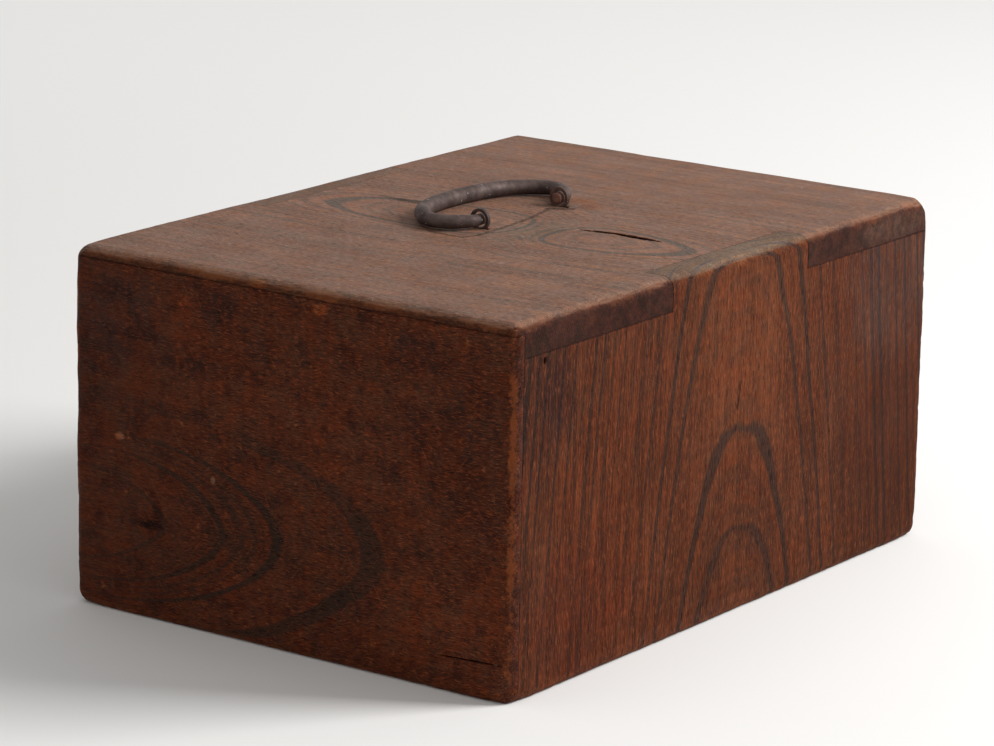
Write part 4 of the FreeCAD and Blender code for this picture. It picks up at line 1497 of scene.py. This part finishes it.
TOP_TINTS = (
    *SEAMS,
    *(Tint((x, y, TOP), (2.2, 2.2, 6), (0.3, 0.3, 0.3), 0.9, 0.9, (next_x - x, next_y - y, 0))
      for (x, y), (next_x, next_y) in zip(SHAKE, SHAKE[1:])),
    Tint((98, -3, TOP), (3.6, 3.6, 6), (0.4, 0.42, 0.4), 0.9, 0.9, (-16, 2, 0)),
    Tint((84, -1, TOP), (5.5, 5.5, 6), (0.14, 0.13, 0.13), 1.0, 0.8, (-18, -1, 0)),
    Tint((3, -36.5, TOP), (3, 3, 6), (0.1, 0.1, 0.1), 1.0, 0.6, (-11, -9, 0)),
    Tint((-25, 18, TOP), (24, 42, 9), (0.76, 0.92, 0.95), 0.9),
    # painted shadow of the bail on the top
    Tint((60, 43, TOP), (22, 18, 9), (0.72, 0.72, 0.74), 0.9),
    Tint((2, -66, TOP), (16, 12, 6), (1.05, 0.8, 0.58), 1.0, 1.8),
    Tint((-12, -56, TOP), (8, 8, 6), (0.8, 0.62, 0.5), 1.0, 1.8),
    Tint((3, 29, TOP), (9, 10, 6), (0.85, 0.66, 0.55), 0.9, 1.4),
    Tint((-153.5, -165, 196), (5, 75, 14), (1.7, 2.7, 3.3), 1.0, 0.3),
    Tint((-153.5, 196, 192), (6, 20, 9), (0.75, 1.0, 0.95), 1.0, 1.0),
    Tint((21.6, 210, 203.9), (9, 6, 4), (1.9, 1.6, 1.1), 1.0, 1.2),
)


def case_wood(name: str, space: BoardSpace, figure: Figure, **choices: object) -> Keyaki:
    """The keyaki of an outer board, whose worn edges are the case's; choices are the board's own."""
    return Keyaki("keyaki_" + name, space, figure, *map(tuple, CASE_BOX), **choices)


def front_strip(node: str, across: Point, along: Point) -> Keyaki:
    """The keyaki of a narrow strip of the front, straight-grained along itself.

    Args:
        node: the strip's plain solid.
        across: the way across its grain.
        along: the way along it.

    Returns:
        The finish.
    """
    low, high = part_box(node)
    return Keyaki("keyaki_" + node, BoardSpace(across, along, Y_WAY, (0.0, low.y, 0.09)), FRONT_FIGURE,
                  tuple(low), tuple(high), wear_reach=1.5, foot_wear=1.0, worn=FRONT_WORN)


# on the boards' up-facing faces the bleaching and the pale coat are partly a painted sheen
TOP_WOOD = case_wood(
    "top", BoardSpace(Y_WAY, X_WAY, (0, 0, -1), (-0.025, 0.015, CASE_BOX[1].z)), TOP_FIGURE,
    light=paint(101, 55, 33), dark=paint(69, 37, 23), band=paint(48, 37, 26), pore=paint(36, 19, 13),
    fleck=paint(126, 82, 58), worn=paint(122, 68, 40), bleached=(2.65, 4.4, 6.8), filmed=0.12, roughness=0.55,
    streaks=0.6, pores=0.47, flecks=0.3, sheen=0.05, waver=0.6, end_shade=(0.43, 0.4, 0.48),
    wear_strength=0.6, wear_reach=6.0, grit=(0.16, 0.2, 0.23),
    calm_pores=(Tint((0, -190, TOP), (220, 160, 30), ONE, 0.6, 0.3),), tints=TOP_TINTS)
LEFT_WOOD = case_wood(
    "left", BoardSpace((0, -1, 0), Z_WAY, X_WAY, (CASE_BOX[0].x, -0.0075, 0.0)), LEFT_FIGURE,
    light=paint(103, 52, 28), dark=paint(53, 27, 15), band=paint(48, 32, 25), streak_zone=(-60, -100),
    pore_length=7.5, waver=0.6, pores=0.5, streaks=0.6, tints=(*LEFT_TINTS, *SEAMS[:4]),
    bleached=(1.8, 4.2, 7.2), filmed=0.25, sheen=0.03, wear_strength=0.35, wear_reach=5.5, bands=0.92,
    calm_rings=(Tint((LEFT, 150, 10), (60, 110, 110), ONE, 0.45),),
    calm_pores=(Tint((LEFT, -190, 110), (60, 110, 160), ONE, 0.55),))
RIGHT_WOOD = case_wood(
    "right", BoardSpace(Y_WAY, Z_WAY, (-1, 0, 0), (CASE_BOX[1].x, -0.06, 0.03)), LEFT_FIGURE,
    bleached=(1.8, 3.7, 5.8), filmed=0.25)
BACK_WOOD = case_wood(
    "back", BoardSpace(Z_WAY, (-1, 0, 0), (0, -1, 0), (0.0, CASE_BOX[1].y, 0.0624)), BACK_FIGURE,
    light=paint(99, 50, 28), dark=paint(58, 29, 18), band=paint(48, 34, 27), pore=paint(28, 15, 11),
    fleck=paint(138, 70, 38), worn=paint(140, 74, 38), end_shade=(0.75, 0.85, 1.1), cloud=(0.62, 0.66, 0.86),
    waver=2.0, pore_length=6.0, pores=0.6, flecks=0.5, grime=0.8, cast=1.2, bands=0.95, sheen=0.05,
    wear_reach=4.5, calm_pores=(Tint((150, REAR, 100), (110, 60, 200), ONE, 0.5, 0.3),),
    tints=(*BACK_TINTS, SEAMS[4]), ring_spot=Tint((35, REAR, 50), (190, 60, 95), ONE))
BOTTOM_WOOD = case_wood("bottom", BoardSpace(X_WAY, Y_WAY, Z_WAY, (0.0, 0.05, 0.0)), BACK_FIGURE)
RAIL_WOOD = front_strip("drawer_rail", Z_WAY, X_WAY)
STILE_WOOD = front_strip("partition_stile", X_WAY, Z_WAY)
KIRI_COLOURS = paint(190, 160, 122), paint(156, 124, 88)
KIRI_ACROSS = PlainWood("kiri_across", *KIRI_COLOURS, BoardSpace(Y_WAY, X_WAY, Z_WAY))
KIRI_LENGTHWISE = PlainWood("kiri_lengthwise", *KIRI_COLOURS, BoardSpace(X_WAY, Y_WAY, Z_WAY))
PEG_WOOD = PlainWood("peg_hardwood", paint(120, 78, 50), paint(88, 54, 34), BoardSpace(X_WAY, Z_WAY, Y_WAY))
# rust-brown lightening of the bail's two ends: rust colour, partly painted light lifting them out of their
# shade
BAIL_IRON = ForgedIron("bail_iron", tints=(
    Tint((2.7, -44, 212), (9, 7, 9), (2.8, 2.0, 1.6), 1.0, 0.8),
    Tint((2.7, 28, 212), (8, 6, 8), (1.6, 1.2, 1.0), 1.0, 0.8)))
FRONT_IRON = ForgedIron("front_iron", dark=paint(50, 46, 44), light=paint(84, 77, 72), rusting=0.25)


def main() -> None:
    """Build the chest, one sub-assembly after another."""
    logging.basicConfig(level=logging.INFO, format="%(name)s %(message)s")
    bpy.context.scene.view_settings.view_transform = "Standard"
    Viewpoint().build()
    Studio().build()
    Case(*CASE_BOX, CASE_SCARS, SOFT_CORNERS).build()
    DrawerFrame().build()
    for name in ("upper_left_drawer", "upper_right_drawer", "lower_drawer"):
        Drawer(name).build()
    for name in ("upper_left_pull", "upper_right_pull", "lower_left_pull", "lower_right_pull"):
        DropPull(name).build()
    DrawerLock().build()
    BailHandle().build()


if __name__ == "__main__":
    main()
